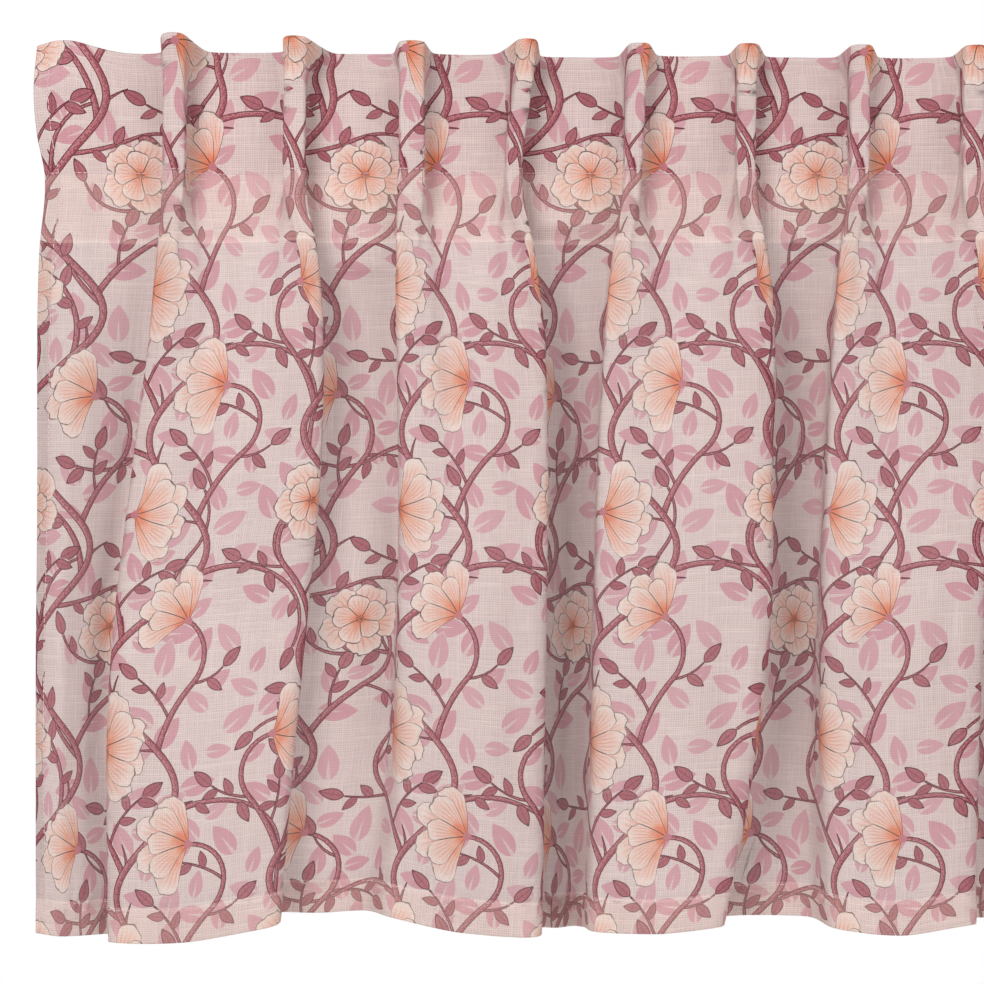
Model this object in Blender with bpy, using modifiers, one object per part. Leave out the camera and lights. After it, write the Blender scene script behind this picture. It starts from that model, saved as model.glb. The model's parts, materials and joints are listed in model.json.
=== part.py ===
"""A window valance: one sheet of semi-sheer printed cloth, gathered by a pleated heading and hung in five broad
folds with deep valleys between them.

Metres, +Z up. The origin is the middle of the top edge, in the plane of the flats between the pleats. +X runs
along the width and the front faces -Y, so a fold's depth is measured towards -Y. Along the cloth itself, u runs
from its left edge over every pleat and fold, and the drop runs down from the top edge.
"""

import math

import bmesh
import bpy
import numpy as np

# Driving dimensions
HUNG_WIDTH = 0.731
DROP = 0.495
THICKNESS = 0.0012
HEADING = 0.067  # from the top edge down to where the pleats are stitched
PLEAT_DEPTH = 0.0195  # how far a pleat's face stands in front of the flats

CLOTH_COLOUR = (0.73, 0.55, 0.54, 1.0)
CLOTH_ROUGHNESS = 0.85

# The box pleats of the heading, from left to right. One row each: its centre, from the cloth's left edge; the
# width of its face; how far it lifts the top edge; how far its top leans to the right; how far each of its two
# walls splays outward at the top edge; how far the flat to its right bows forward, and how far that flat is drawn
# up at its top.
PLEATS = (
    # centre, face, lift, lean, splay left, splay right, bow, rise
    (0.077, 0.013, 0.0070, 0.000, 0.003, 0.010, -0.0015, 0.0020),
    (0.144, 0.013, 0.0050, 0.001, 0.001, 0.014, 0.0010, 0.0010),
    (0.210, 0.015, 0.0035, 0.000, 0.004, 0.004, -0.0020, 0.0010),
    (0.267, 0.011, 0.0050, 0.008, 0.004, 0.010, 0.0015, -0.0010),
    (0.334, 0.012, 0.0035, 0.003, 0.002, 0.009, -0.0015, 0.0000),
    (0.397, 0.011, 0.0030, 0.001, 0.003, 0.008, 0.0010, -0.0010),
    (0.461, 0.012, 0.0030, 0.000, 0.005, 0.007, -0.0020, -0.0010),
    (0.525, 0.013, 0.0025, 0.000, 0.003, 0.006, 0.0015, 0.0000),
    (0.590, 0.012, 0.0035, 0.002, 0.006, 0.005, -0.0015, 0.0010),
    (0.654, 0.013, 0.0050, -0.001, 0.008, 0.003, 0.0010, 0.0000),
)

# Below the heading each pair of pleats opens into one broad fold. One row for each of its two edges: the tuck,
# which is how far the wall behind the edge runs in under the fold, at half height and at the hem, and then the
# edge's distance from the cloth's left edge at each of the levels.
LEVELS = (0.067, 0.140, 0.230, 0.330, 0.430, DROP)
FOLD_EDGES = (
    # tuck, tuck at hem, (place at each level)
    (0.006, 0.008, (0.0705, 0.064, 0.052, 0.040, 0.036, 0.036)),
    (0.008, 0.008, (0.1520, 0.161, 0.162, 0.153, 0.144, 0.139)),
    (0.001, -0.012, (0.2020, 0.202, 0.202, 0.202, 0.201, 0.194)),
    (0.009, 0.005, (0.2740, 0.284, 0.288, 0.287, 0.285, 0.284)),
    (0.001, -0.003, (0.3275, 0.319, 0.314, 0.312, 0.311, 0.310)),
    (0.009, 0.008, (0.4035, 0.413, 0.413, 0.411, 0.398, 0.386)),
    (0.002, -0.006, (0.4545, 0.447, 0.442, 0.440, 0.442, 0.444)),
    (0.008, 0.006, (0.5325, 0.535, 0.535, 0.529, 0.527, 0.527)),
    (0.002, -0.004, (0.5835, 0.577, 0.572, 0.570, 0.571, 0.572)),
    (0.007, 0.003, (0.6610, 0.670, 0.675, 0.673, 0.670, 0.668)),
)

# A broad fold's depth across its face, from its left edge (0) to its right edge (1). It swells as it falls and
# crests towards the right.
FACE_LEVELS = (0.090, 0.130, 0.240, DROP)
FACE = (
    # place across, (depth at each level)
    (0.00, (0.0195, 0.0190, 0.0170, 0.0150)),
    (0.12, (0.0120, 0.0165, 0.0195, 0.0175)),
    (0.34, (0.0030, 0.0080, 0.0160, 0.0165)),
    (0.60, (0.0030, 0.0085, 0.0190, 0.0200)),
    (0.84, (0.0120, 0.0180, 0.0290, 0.0275)),
    (0.94, (0.0190, 0.0230, 0.0310, 0.0275)),
    (1.00, (0.0195, 0.0220, 0.0275, 0.0230)),
)
FACE_SAMPLES = 16
FOLD_SWELL = (0.94, 1.00, 1.06, 1.02, 0.96)  # how each broad fold differs from that, from left to right
LEFT_SHARE = 0.3  # of the cloth that a fold's face has to spare, what goes round its left edge

# The two ends below the heading, from the cloth's edge (0) to the foot of the nearest fold's wall (1).
END_LEVELS = (0.067, 0.150, 0.300, DROP)
END = (
    # place across, (depth at each level)
    (0.00, (0.0000, 0.0040, 0.0050, 0.0040)),
    (0.30, (0.0025, 0.0120, 0.0140, 0.0110)),
    (0.56, (0.0010, 0.0040, 0.0020, 0.0030)),
    (0.80, (0.0000, -0.0050, -0.0110, -0.0060)),
    (1.00, (0.0000, -0.0030, -0.0070, -0.0040)),
)
# How far the cloth's left edge swings to the right, and its right edge too, at each drop.
EDGE_SWING = (
    # drop, left, right
    (0.000, -0.003, 0.002),
    (0.022, -0.005, 0.004),
    (0.045, -0.003, 0.003),
    (0.064, 0.001, 0.000),
    (0.110, -0.001, 0.001),
    (0.250, -0.002, 0.002),
    (DROP, -0.003, 0.003),
)
SWING_REACH = 0.060  # how far from an edge its swing is still felt
END_BOW = ((0.0, 0.0), (0.018, 0.0025), (0.045, 0.001))  # (distance from the cloth's edge, depth) in the heading

DEEPEST_VALLEY = -0.028

# How far the folds draw the hem up, or let it hang below the drop (-). One row for each broad fold and the valley
# to its right; the ends are beyond the outer folds.
HEM_LIFTS = (
    # left edge, belly, crest, right edge, valley
    (-0.004, -0.0035, 0.005, 0.009, 0.008),
    (0.011, 0.0020, 0.001, 0.001, -0.004),
    (0.002, 0.0015, 0.007, 0.004, 0.006),
    (0.005, 0.0005, 0.008, 0.005, 0.003),
    (0.004, -0.0010, 0.003, 0.002, 0.000),
)
BELLY, CREST = 0.45, 0.80  # where these two lie across a fold, from its left edge (0) to its right edge (1)
HEM_LIFT_AT_ENDS = -0.001
CORNER_LIFTS = (0.0085, 0.0050)  # how far the two top corners curl up
PLEAT_RELEASE = (0.058, 0.118)  # drops between which a pleat's inner wall melts into its fold
SPARE_RELEASE = (0.085, 0.200)  # and those between which its spare cloth goes round into the walls
WALL_UNDERCUT = 0.0015  # a pleat's walls run in a little behind its face, below its splayed top
SPLAY_FADE = 0.010  # how far down a pleat's walls still splay
SPLAY_GAIN = 0.43  # how much further forward a pleat's top stands, as a share of its splay
LIFT_FADE = 0.030  # how far down a lift of the top edge is still felt
PLEAT_REACH = 0.017  # how far along the cloth a pleat's lift is felt
CORNER_REACH = 0.022
CORNER_INSET = 0.014
ROUNDING = (
    # drop, length along the cloth over which a crease is rounded
    (0.000, 0.0020),
    (0.067, 0.0016),
    (0.140, 0.0022),
    (0.300, 0.0030),
    (DROP, 0.0044),
)

# Mesh density
STEP = 0.001  # spacing of the samples that a cross-section is worked out on
STATIONS = (-0.033, -0.0235, -0.0165, -0.0095, -0.0045, 0.0, 0.0045, 0.0095, 0.0165, 0.0235, 0.033)
END_STATIONS = (0.0, 0.010, 0.022, 0.036, 0.050)
ROWS = (0.0, 0.014, 0.038, 0.058, 0.076, 0.096, 0.120, 0.152, 0.192, 0.240, 0.300, 0.360, 0.418, 0.465, DROP)


def flat_width():
    """Width of the sheet when it is laid flat: every pleat takes up two walls."""
    return HUNG_WIDTH + 2 * PLEAT_DEPTH * len(PLEATS)


def pleat_stations():
    """Where each pleat's centre lies along the cloth."""
    return [row[0] + PLEAT_DEPTH * (2 * i + 1) for i, row in enumerate(PLEATS)]


def smooth_between(x, places, values):
    """A curve through the values at the places, with no kinks (cubic Hermite pieces)."""
    places, values = np.asarray(places, float), np.asarray(values, float)
    slopes = np.gradient(values, places)
    x = np.clip(x, places[0], places[-1])
    i = np.clip(np.searchsorted(places, x, side="right") - 1, 0, len(places) - 2)
    width = places[i + 1] - places[i]
    t = (x - places[i]) / width
    return (
        (2 * t**3 - 3 * t**2 + 1) * values[i]
        + (t**3 - 2 * t**2 + t) * width * slopes[i]
        + (3 * t**2 - 2 * t**3) * values[i + 1]
        + (t**3 - t**2) * width * slopes[i + 1]
    )


def ramp(x, start, end):
    """0 before the start, 1 after the end, and a smooth rise between them."""
    t = np.clip((x - start) / (end - start), 0.0, 1.0)
    return t * t * (3 - 2 * t)


def bump(x, reach):
    """1 at 0, fading to nothing by about twice the reach."""
    return np.exp(-((x / reach) ** 2))


def length_of(knots):
    """Length of the line through knots (u, x, depth)."""
    return float(np.linalg.norm(np.diff(np.array(knots)[:, 1:], axis=0), axis=1).sum())


def stretched(knots_at, most):
    """The knots for the amount, up to most, at which their line is as long as the cloth that it holds."""
    low, high = 0.0, most
    for _ in range(20):
        amount = (low + high) / 2
        knots = knots_at(amount)
        if length_of(knots) < abs(knots[-1][0] - knots[0][0]):
            low = amount
        else:
            high = amount
    return knots_at(low)


def heading_section(drop):
    """Knots (u, x, depth) of the cross-section in the heading: a box pleat, a flat, the next pleat."""
    width, stations = flat_width(), pleat_stations()
    top = bump(drop, SPLAY_FADE)
    under = WALL_UNDERCUT * (1 - top)
    knots = [(place, place, bow) for place, bow in END_BOW]
    for i, (centre, face, _, lean, splay_left, splay_right, bow, _) in enumerate(PLEATS):
        u, half = stations[i], face / 2
        x = centre + lean * (1 - ramp(drop, 0.0, HEADING))
        depth = PLEAT_DEPTH + SPLAY_GAIN * (splay_left + splay_right) * top
        knots += [
            (u - half - PLEAT_DEPTH, centre - half + under - splay_left * top, 0.0),
            (u - half, x - half, depth),
            (u + half, x + half, depth),
            (u + half + PLEAT_DEPTH, centre + half - under + splay_right * top, 0.0),
        ]
        if i + 1 < len(PLEATS):
            knots.append(((u + stations[i + 1]) / 2, (centre + PLEATS[i + 1][0]) / 2, bow))
    knots += [(width - place, HUNG_WIDTH - place, bow) for place, bow in reversed(END_BOW)]
    return np.array(knots)


def fold_span(fold):
    """Where a broad fold's two edges lie along the cloth."""
    stations = pleat_stations()
    return (
        stations[2 * fold] - PLEATS[2 * fold][1] / 2,
        stations[2 * fold + 1] + PLEATS[2 * fold + 1][1] / 2,
    )


def fold_knots(fold, drop):
    """Knots of one broad fold, with a wall at each side. What its face has to spare lengthens its walls."""
    left, right = FOLD_EDGES[2 * fold], FOLD_EDGES[2 * fold + 1]
    x0, x1 = (float(smooth_between(drop, LEVELS, places)) for _, _, places in (left, right))
    hem_share = ramp(drop, 0.25, DROP)
    tuck0, tuck1 = (tuck + hem_share * (tuck_at_hem - tuck) for tuck, tuck_at_hem, _ in (left, right))
    swell = 1 + (FOLD_SWELL[fold] - 1) * ramp(drop, HEADING, 0.24)
    u0, u1 = fold_span(fold)

    across = np.linspace(0.0, 1.0, FACE_SAMPLES)
    places = [place for place, _ in FACE]
    depths = smooth_between(across, places, [swell * smooth_between(drop, FACE_LEVELS, row) for _, row in FACE])
    line = [(t, x0 + t * (x1 - x0), float(d)) for t, d in zip(across, depths)]
    spare = max(0.0, u1 - u0 - length_of(line)) * ramp(drop, *SPARE_RELEASE)
    edge0, edge1 = u0 + LEFT_SHARE * spare, u1 - (1 - LEFT_SHARE) * spare
    face = [(edge0 + t * (edge1 - edge0), x, d) for t, x, d in line]

    foot0, foot1 = u0 - PLEAT_DEPTH, u1 + PLEAT_DEPTH
    wall0, wall1 = edge0 - foot0, foot1 - edge1
    first = (foot0, x0 + tuck0, face[0][2] - math.sqrt(wall0**2 - tuck0**2))
    last = (foot1, x1 - tuck1, face[-1][2] - math.sqrt(wall1**2 - tuck1**2))
    return [first, *face, last]


def valley_knots(start, end):
    """Knots from one wall's foot to the next, sagging back as far as the cloth between them lets it."""

    def sagging(sag):
        middle = []
        for t, share in ((0.2, 0.78), (0.5, 1.0), (0.8, 0.78)):
            u, x, depth = (a + t * (b - a) for a, b in zip(start, end))
            middle.append((u, x, depth - share * sag))
        return [start, *middle, end]

    return [(u, x, max(depth, DEEPEST_VALLEY)) for u, x, depth in stretched(sagging, 0.040)[1:-1]]


def end_knots(drop, edge, foot):
    """Knots across an end of the cloth, from its edge (u, x) to the foot of the nearest wall (u, x, depth)."""
    (u0, x0), (u1, x1, _) = edge, foot
    return [
        (u0 + t * (u1 - u0), x0 + t * (x1 - x0), float(smooth_between(drop, END_LEVELS, depths)))
        for t, depths in END
    ]


def fold_section(drop):
    """Knots (u, x, depth) of the cross-section below the heading: broad folds with valleys between them."""
    folds = [fold_knots(fold, drop) for fold in range(len(FOLD_SWELL))]
    knots = end_knots(drop, (0.0, 0.0), folds[0][0])[:-1]
    for fold, following in zip(folds, folds[1:]):
        knots += fold + valley_knots(fold[-1], following[0])
    knots += folds[-1]
    knots += end_knots(drop, (flat_width(), HUNG_WIDTH), folds[-1][-1])[-2::-1]
    return np.array(knots)


def rounded(line, length):
    """The line, sampled at STEP, with its corners rounded over about this length. Its two ends stay."""
    reach = int(math.ceil(3 * length / STEP))
    weights = np.exp(-0.5 * (np.arange(-reach, reach + 1) * STEP / length) ** 2)
    before = 2 * line[0] - line[reach:0:-1]
    after = 2 * line[-1] - line[-2 : -reach - 2 : -1]
    return np.convolve(np.concatenate([before, line, after]), weights / weights.sum(), mode="valid")


def cross_section(drop):
    """The cloth's x and depth at this drop, on samples every STEP along the cloth."""
    u = np.linspace(0.0, flat_width(), int(round(flat_width() / STEP)) + 1)
    opened = ramp(drop, *PLEAT_RELEASE)
    heading, folds = heading_section(drop), fold_section(drop)
    x, depth = (
        (1 - opened) * np.interp(u, heading[:, 0], heading[:, k]) + opened * np.interp(u, folds[:, 0], folds[:, k])
        for k in (1, 2)
    )
    drops, left, right = np.array(EDGE_SWING).T
    x += smooth_between(drop, drops, left) * (1 - ramp(u, 0.0, SWING_REACH))
    x += smooth_between(drop, drops, right) * ramp(u, u[-1] - SWING_REACH, u[-1])
    length = float(np.interp(drop, *np.array(ROUNDING).T))
    return u, rounded(x, length), rounded(depth, length)


def hem_lift(u):
    """How far the hem is drawn up at u."""
    spans = [fold_span(fold) for fold in range(len(HEM_LIFTS))]
    knots = [(0.0, HEM_LIFT_AT_ENDS)]
    for (u0, u1), following, (left, belly, crest, right, valley) in zip(spans, [*spans[1:], None], HEM_LIFTS):
        across = u1 - u0
        knots += [(u0, left), (u0 + BELLY * across, belly), (u0 + CREST * across, crest), (u1, right)]
        knots.append(((u1 + following[0]) / 2, valley) if following else (flat_width(), HEM_LIFT_AT_ENDS))
    return smooth_between(u, *np.array(knots).T)


def top_lift(u):
    """How far the top edge is drawn up at u."""
    stations = pleat_stations()
    lifted = sum(row[2] * bump(u - station, PLEAT_REACH) for station, row in zip(stations, PLEATS))
    middles = [(u0 + u1) / 2 for u0, u1 in zip(stations, [*stations[1:], flat_width()])]
    lifted += smooth_between(u, [0.0, *middles], [0.0, *(row[7] for row in PLEATS)])
    for corner, rise in zip((CORNER_INSET, flat_width() - CORNER_INSET), CORNER_LIFTS):
        lifted += rise * bump(u - corner, CORNER_REACH)
    return lifted


def lift(u, drop):
    return top_lift(u) * bump(drop, LIFT_FADE) + hem_lift(u) * (drop / DROP) ** 2


def cloth_row(drop, stations):
    """The sheet's middle surface at this drop, as world points at the stations along the cloth."""
    u, x, depth = cross_section(drop)
    xs = np.interp(stations, u, x) - HUNG_WIDTH / 2
    ys = -np.interp(stations, u, depth)
    return np.stack([xs, ys, lift(stations, drop) - drop], axis=1)


def columns():
    """Stations along the cloth, close together on the pleats and folds."""
    places = [*END_STATIONS, *(flat_width() - place for place in END_STATIONS)]
    places += [u + offset for u in pleat_stations() for offset in STATIONS]
    return np.array(sorted(places))


def build_valance(collection):
    stations = columns()
    sheet = bmesh.new()
    rows = [[sheet.verts.new(point) for point in cloth_row(drop, stations)] for drop in ROWS]
    for upper, lower in zip(rows, rows[1:]):
        for i in range(len(upper) - 1):
            sheet.faces.new((upper[i], lower[i], lower[i + 1], upper[i + 1]))
    mesh = bpy.data.meshes.new("valance")
    sheet.to_mesh(mesh)
    sheet.free()
    mesh.shade_smooth()
    valance = bpy.data.objects.new("valance", mesh)
    solid = valance.modifiers.new("cloth thickness", "SOLIDIFY")
    solid.thickness = THICKNESS
    solid.offset = 0.0
    collection.objects.link(valance)
    return valance


def cloth_material():
    material = bpy.data.materials.new("printed cloth")
    material.use_nodes = True
    shader = material.node_tree.nodes["Principled BSDF"]
    shader.inputs["Base Color"].default_value = CLOTH_COLOUR
    shader.inputs["Roughness"].default_value = CLOTH_ROUGHNESS
    shader.inputs["Metallic"].default_value = 0.0
    return material


def main():
    for old in list(bpy.data.objects):
        bpy.data.objects.remove(old, do_unlink=True)
    collection = bpy.data.collections.new("window valance")
    bpy.context.scene.collection.children.link(collection)
    build_valance(collection).data.materials.append(cloth_material())


main()
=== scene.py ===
"""Looks of a window valance: semi-sheer printed cloth, gathered by a pleated heading into five broad folds.

Metres, +Z up, in the part's own frame: the origin is the middle of the top edge, and the front faces -Y.
The cloth is one sheet. It is drawn flat first, with its print and its hem allowances, then folded at its
hems and hung on the part's own cross-sections. On the flat sheet u runs along the cloth from its left edge,
and y runs up it from the top edge as hung, so that the face reaches from y = 0 down to y = -DROP.
"""

import json
import math
from functools import partialmethod

import bpy
import numpy as np
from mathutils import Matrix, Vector, geometry

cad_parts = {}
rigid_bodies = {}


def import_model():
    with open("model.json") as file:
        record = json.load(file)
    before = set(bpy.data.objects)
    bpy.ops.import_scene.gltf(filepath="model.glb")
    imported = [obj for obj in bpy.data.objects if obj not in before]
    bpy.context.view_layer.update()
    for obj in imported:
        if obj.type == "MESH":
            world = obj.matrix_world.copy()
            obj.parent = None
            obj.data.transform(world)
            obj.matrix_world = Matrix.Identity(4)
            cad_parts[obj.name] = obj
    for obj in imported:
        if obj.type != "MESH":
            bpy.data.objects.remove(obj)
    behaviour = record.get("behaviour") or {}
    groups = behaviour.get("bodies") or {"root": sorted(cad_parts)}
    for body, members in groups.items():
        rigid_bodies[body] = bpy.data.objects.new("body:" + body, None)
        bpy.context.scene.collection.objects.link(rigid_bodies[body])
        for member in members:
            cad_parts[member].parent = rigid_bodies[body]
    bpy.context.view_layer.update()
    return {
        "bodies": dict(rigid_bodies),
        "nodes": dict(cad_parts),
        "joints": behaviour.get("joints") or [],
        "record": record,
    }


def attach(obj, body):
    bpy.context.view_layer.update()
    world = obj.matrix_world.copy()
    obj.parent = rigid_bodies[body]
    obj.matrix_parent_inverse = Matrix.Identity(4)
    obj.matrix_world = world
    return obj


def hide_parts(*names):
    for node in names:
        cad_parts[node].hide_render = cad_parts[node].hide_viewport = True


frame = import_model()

# ---- The hung shape: the part's own sizes, tables and functions

HUNG_WIDTH = 0.731
DROP = 0.495
HEADING = 0.067  # from the top edge down to where the pleats are stitched
PLEAT_DEPTH = 0.0195  # how far a pleat's face stands in front of the flats

# The heading's box pleats, from left to right: a pleat's centre, from the cloth's left edge; the width of
# its face; how far it lifts the top edge; how far its top leans to the right; how far each of its walls
# splays outward at the top; and how far the flat to its right bows forward and is drawn up at its top.
PLEATS = (
    # centre, face, lift, lean, splay left, splay right, bow, rise
    (0.077, 0.013, 0.0070, 0.000, 0.003, 0.010, -0.0015, 0.0020),
    (0.144, 0.013, 0.0050, 0.001, 0.001, 0.014, 0.0010, 0.0010),
    (0.210, 0.015, 0.0035, 0.000, 0.004, 0.004, -0.0020, 0.0010),
    (0.267, 0.011, 0.0050, 0.008, 0.004, 0.010, 0.0015, -0.0010),
    (0.334, 0.012, 0.0035, 0.003, 0.002, 0.009, -0.0015, 0.0000),
    (0.397, 0.011, 0.0030, 0.001, 0.003, 0.008, 0.0010, -0.0010),
    (0.461, 0.012, 0.0030, 0.000, 0.005, 0.007, -0.0020, -0.0010),
    (0.525, 0.013, 0.0025, 0.000, 0.003, 0.006, 0.0015, 0.0000),
    (0.590, 0.012, 0.0035, 0.002, 0.006, 0.005, -0.0015, 0.0010),
    (0.654, 0.013, 0.0050, -0.001, 0.008, 0.003, 0.0010, 0.0000),
)

# Below the heading each pair of pleats opens into one broad fold. A row for each of its two edges: the
# tuck, which is how far the wall behind the edge runs in under the fold, at half height and at the hem, and
# then the edge's distance from the cloth's left edge at each of the levels.
LEVELS = (0.067, 0.140, 0.230, 0.330, 0.430, DROP)
FOLD_EDGES = (
    # tuck, tuck at hem, (place at each level)
    (0.006, 0.008, (0.0705, 0.064, 0.052, 0.040, 0.036, 0.036)),
    (0.008, 0.008, (0.1520, 0.161, 0.162, 0.153, 0.144, 0.139)),
    (0.001, -0.012, (0.2020, 0.202, 0.202, 0.202, 0.201, 0.194)),
    (0.009, 0.005, (0.2740, 0.284, 0.288, 0.287, 0.285, 0.284)),
    (0.001, -0.003, (0.3275, 0.319, 0.314, 0.312, 0.311, 0.310)),
    (0.009, 0.008, (0.4035, 0.413, 0.413, 0.411, 0.398, 0.386)),
    (0.002, -0.006, (0.4545, 0.447, 0.442, 0.440, 0.442, 0.444)),
    (0.008, 0.006, (0.5325, 0.535, 0.535, 0.529, 0.527, 0.527)),
    (0.002, -0.004, (0.5835, 0.577, 0.572, 0.570, 0.571, 0.572)),
    (0.007, 0.003, (0.6610, 0.670, 0.675, 0.673, 0.670, 0.668)),
)

# A broad fold's depth across its face, from its left edge (0) to its right edge (1).
FACE_LEVELS = (0.090, 0.130, 0.240, DROP)
FACE = (
    # place across, (depth at each level)
    (0.00, (0.0195, 0.0190, 0.0170, 0.0150)),
    (0.12, (0.0120, 0.0165, 0.0195, 0.0175)),
    (0.34, (0.0030, 0.0080, 0.0160, 0.0165)),
    (0.60, (0.0030, 0.0085, 0.0190, 0.0200)),
    (0.84, (0.0120, 0.0180, 0.0290, 0.0275)),
    (0.94, (0.0190, 0.0230, 0.0310, 0.0275)),
    (1.00, (0.0195, 0.0220, 0.0275, 0.0230)),
)
FACE_SAMPLES = 16
FOLD_SWELL = (0.94, 1.00, 1.06, 1.02, 0.96)  # each broad fold's depth, as a share of that
LEFT_SHARE = 0.3  # of the cloth that a fold's face has to spare, what goes round its left edge

# The two ends below the heading, from the cloth's edge (0) to the foot of the nearest wall (1).
END_LEVELS = (0.067, 0.150, 0.300, DROP)
END = (
    # place across, (depth at each level)
    (0.00, (0.0000, 0.0040, 0.0050, 0.0040)),
    (0.30, (0.0025, 0.0120, 0.0140, 0.0110)),
    (0.56, (0.0010, 0.0040, 0.0020, 0.0030)),
    (0.80, (0.0000, -0.0050, -0.0110, -0.0060)),
    (1.00, (0.0000, -0.0030, -0.0070, -0.0040)),
)
# How far the cloth's two side edges swing to the right at each drop.
EDGE_SWING = (
    # drop, left, right
    (0.000, -0.003, 0.002),
    (0.022, -0.005, 0.004),
    (0.045, -0.003, 0.003),
    (0.064, 0.001, 0.000),
    (0.110, -0.001, 0.001),
    (0.250, -0.002, 0.002),
    (DROP, -0.003, 0.003),
)
SWING_REACH = 0.060  # how far from an edge its swing is still felt
END_BOW = ((0.0, 0.0), (0.018, 0.0025), (0.045, 0.001))  # (distance from the edge, depth) in the heading
DEEPEST_VALLEY = -0.028
MOST_SAG = 0.040  # of a valley, before that

# How far each broad fold, and the valley to its right, draws the hem up or lets it hang lower (-).
HEM_LIFTS = (
    # left edge, belly, crest, right edge, valley
    (-0.004, -0.0035, 0.005, 0.009, 0.008),
    (0.011, 0.0020, 0.001, 0.001, -0.004),
    (0.002, 0.0015, 0.007, 0.004, 0.006),
    (0.005, 0.0005, 0.008, 0.005, 0.003),
    (0.004, -0.0010, 0.003, 0.002, 0.000),
)
BELLY, CREST = 0.45, 0.80  # where these two lie across a fold
HEM_LIFT_AT_ENDS = -0.001
CORNER_LIFTS = (0.0085, 0.0050)  # how far the two top corners curl up
PLEAT_RELEASE = (0.058, 0.118)  # drops between which a pleat's inner wall melts into its fold
SPARE_RELEASE = (0.085, 0.200)  # and those between which its spare cloth goes round into the walls
WALL_UNDERCUT = 0.0015  # a pleat's walls run in a little behind its face, below its splayed top
SPLAY_FADE = 0.010  # how far down a pleat's walls still splay
SPLAY_GAIN = 0.43  # how much further forward a pleat's top stands, as a share of its splay
LIFT_FADE = 0.030  # how far down a lift of the top edge is still felt
PLEAT_REACH = 0.017  # how far along the cloth a pleat's lift is felt
CORNER_REACH = 0.022
CORNER_INSET = 0.014
ROUNDING = (
    # drop, length along the cloth over which a crease is rounded
    (0.000, 0.0020),
    (0.067, 0.0016),
    (0.140, 0.0022),
    (0.300, 0.0030),
    (DROP, 0.0044),
)
STEP = 0.001  # spacing of the samples that a cross-section is worked out on


def flat_width():
    """Width of the sheet when it is laid flat: every pleat takes up two walls."""
    return HUNG_WIDTH + 2 * PLEAT_DEPTH * len(PLEATS)


def pleat_stations():
    """Where each pleat's centre lies along the cloth."""
    return [row[0] + PLEAT_DEPTH * (2 * i + 1) for i, row in enumerate(PLEATS)]


def smooth_between(x, places, values):
    """A curve through the values at the places, with no kinks (cubic Hermite pieces)."""
    places, values = np.asarray(places, float), np.asarray(values, float)
    slopes = np.gradient(values, places)
    x = np.clip(x, places[0], places[-1])
    i = np.clip(np.searchsorted(places, x, side="right") - 1, 0, len(places) - 2)
    width = places[i + 1] - places[i]
    t = (x - places[i]) / width
    return (
        (2 * t**3 - 3 * t**2 + 1) * values[i]
        + (t**3 - 2 * t**2 + t) * width * slopes[i]
        + (3 * t**2 - 2 * t**3) * values[i + 1]
        + (t**3 - t**2) * width * slopes[i + 1]
    )


def ramp(x, start, end):
    """0 before the start, 1 after the end, and a smooth rise between them."""
    t = np.clip((x - start) / (end - start), 0.0, 1.0)
    return t * t * (3 - 2 * t)


def bump(x, reach):
    """1 at 0, fading to nothing by about twice the reach."""
    return np.exp(-((x / reach) ** 2))


def length_of(knots):
    """Length of the line through knots (u, x, depth)."""
    return float(np.linalg.norm(np.diff(np.array(knots)[:, 1:], axis=0), axis=1).sum())


def stretched(knots_at, most):
    """The knots for the amount, up to most, at which their line is as long as the cloth that it holds."""
    low, high = 0.0, most
    for _ in range(20):
        amount = (low + high) / 2
        knots = knots_at(amount)
        if length_of(knots) < abs(knots[-1][0] - knots[0][0]):
            low = amount
        else:
            high = amount
    return knots_at(low)


def heading_section(drop):
    """Knots (u, x, depth) of the cross-section in the heading: a box pleat, a flat, the next pleat."""
    width, stations = flat_width(), pleat_stations()
    top = bump(drop, SPLAY_FADE)
    under = WALL_UNDERCUT * (1 - top)
    knots = [(place, place, bow) for place, bow in END_BOW]
    for i, (centre, face, _, lean, splay_left, splay_right, bow, _) in enumerate(PLEATS):
        u, half = stations[i], face / 2
        x = centre + lean * (1 - ramp(drop, 0.0, HEADING))
        depth = PLEAT_DEPTH + SPLAY_GAIN * (splay_left + splay_right) * top
        knots += [
            (u - half - PLEAT_DEPTH, centre - half + under - splay_left * top, 0.0),
            (u - half, x - half, depth),
            (u + half, x + half, depth),
            (u + half + PLEAT_DEPTH, centre + half - under + splay_right * top, 0.0),
        ]
        if i + 1 < len(PLEATS):
            knots.append(((u + stations[i + 1]) / 2, (centre + PLEATS[i + 1][0]) / 2, bow))
    knots += [(width - place, HUNG_WIDTH - place, bow) for place, bow in reversed(END_BOW)]
    return np.array(knots)


def fold_span(fold):
    """Where a broad fold's two edges lie along the cloth."""
    stations = pleat_stations()
    return (
        stations[2 * fold] - PLEATS[2 * fold][1] / 2,
        stations[2 * fold + 1] + PLEATS[2 * fold + 1][1] / 2,
    )


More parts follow.
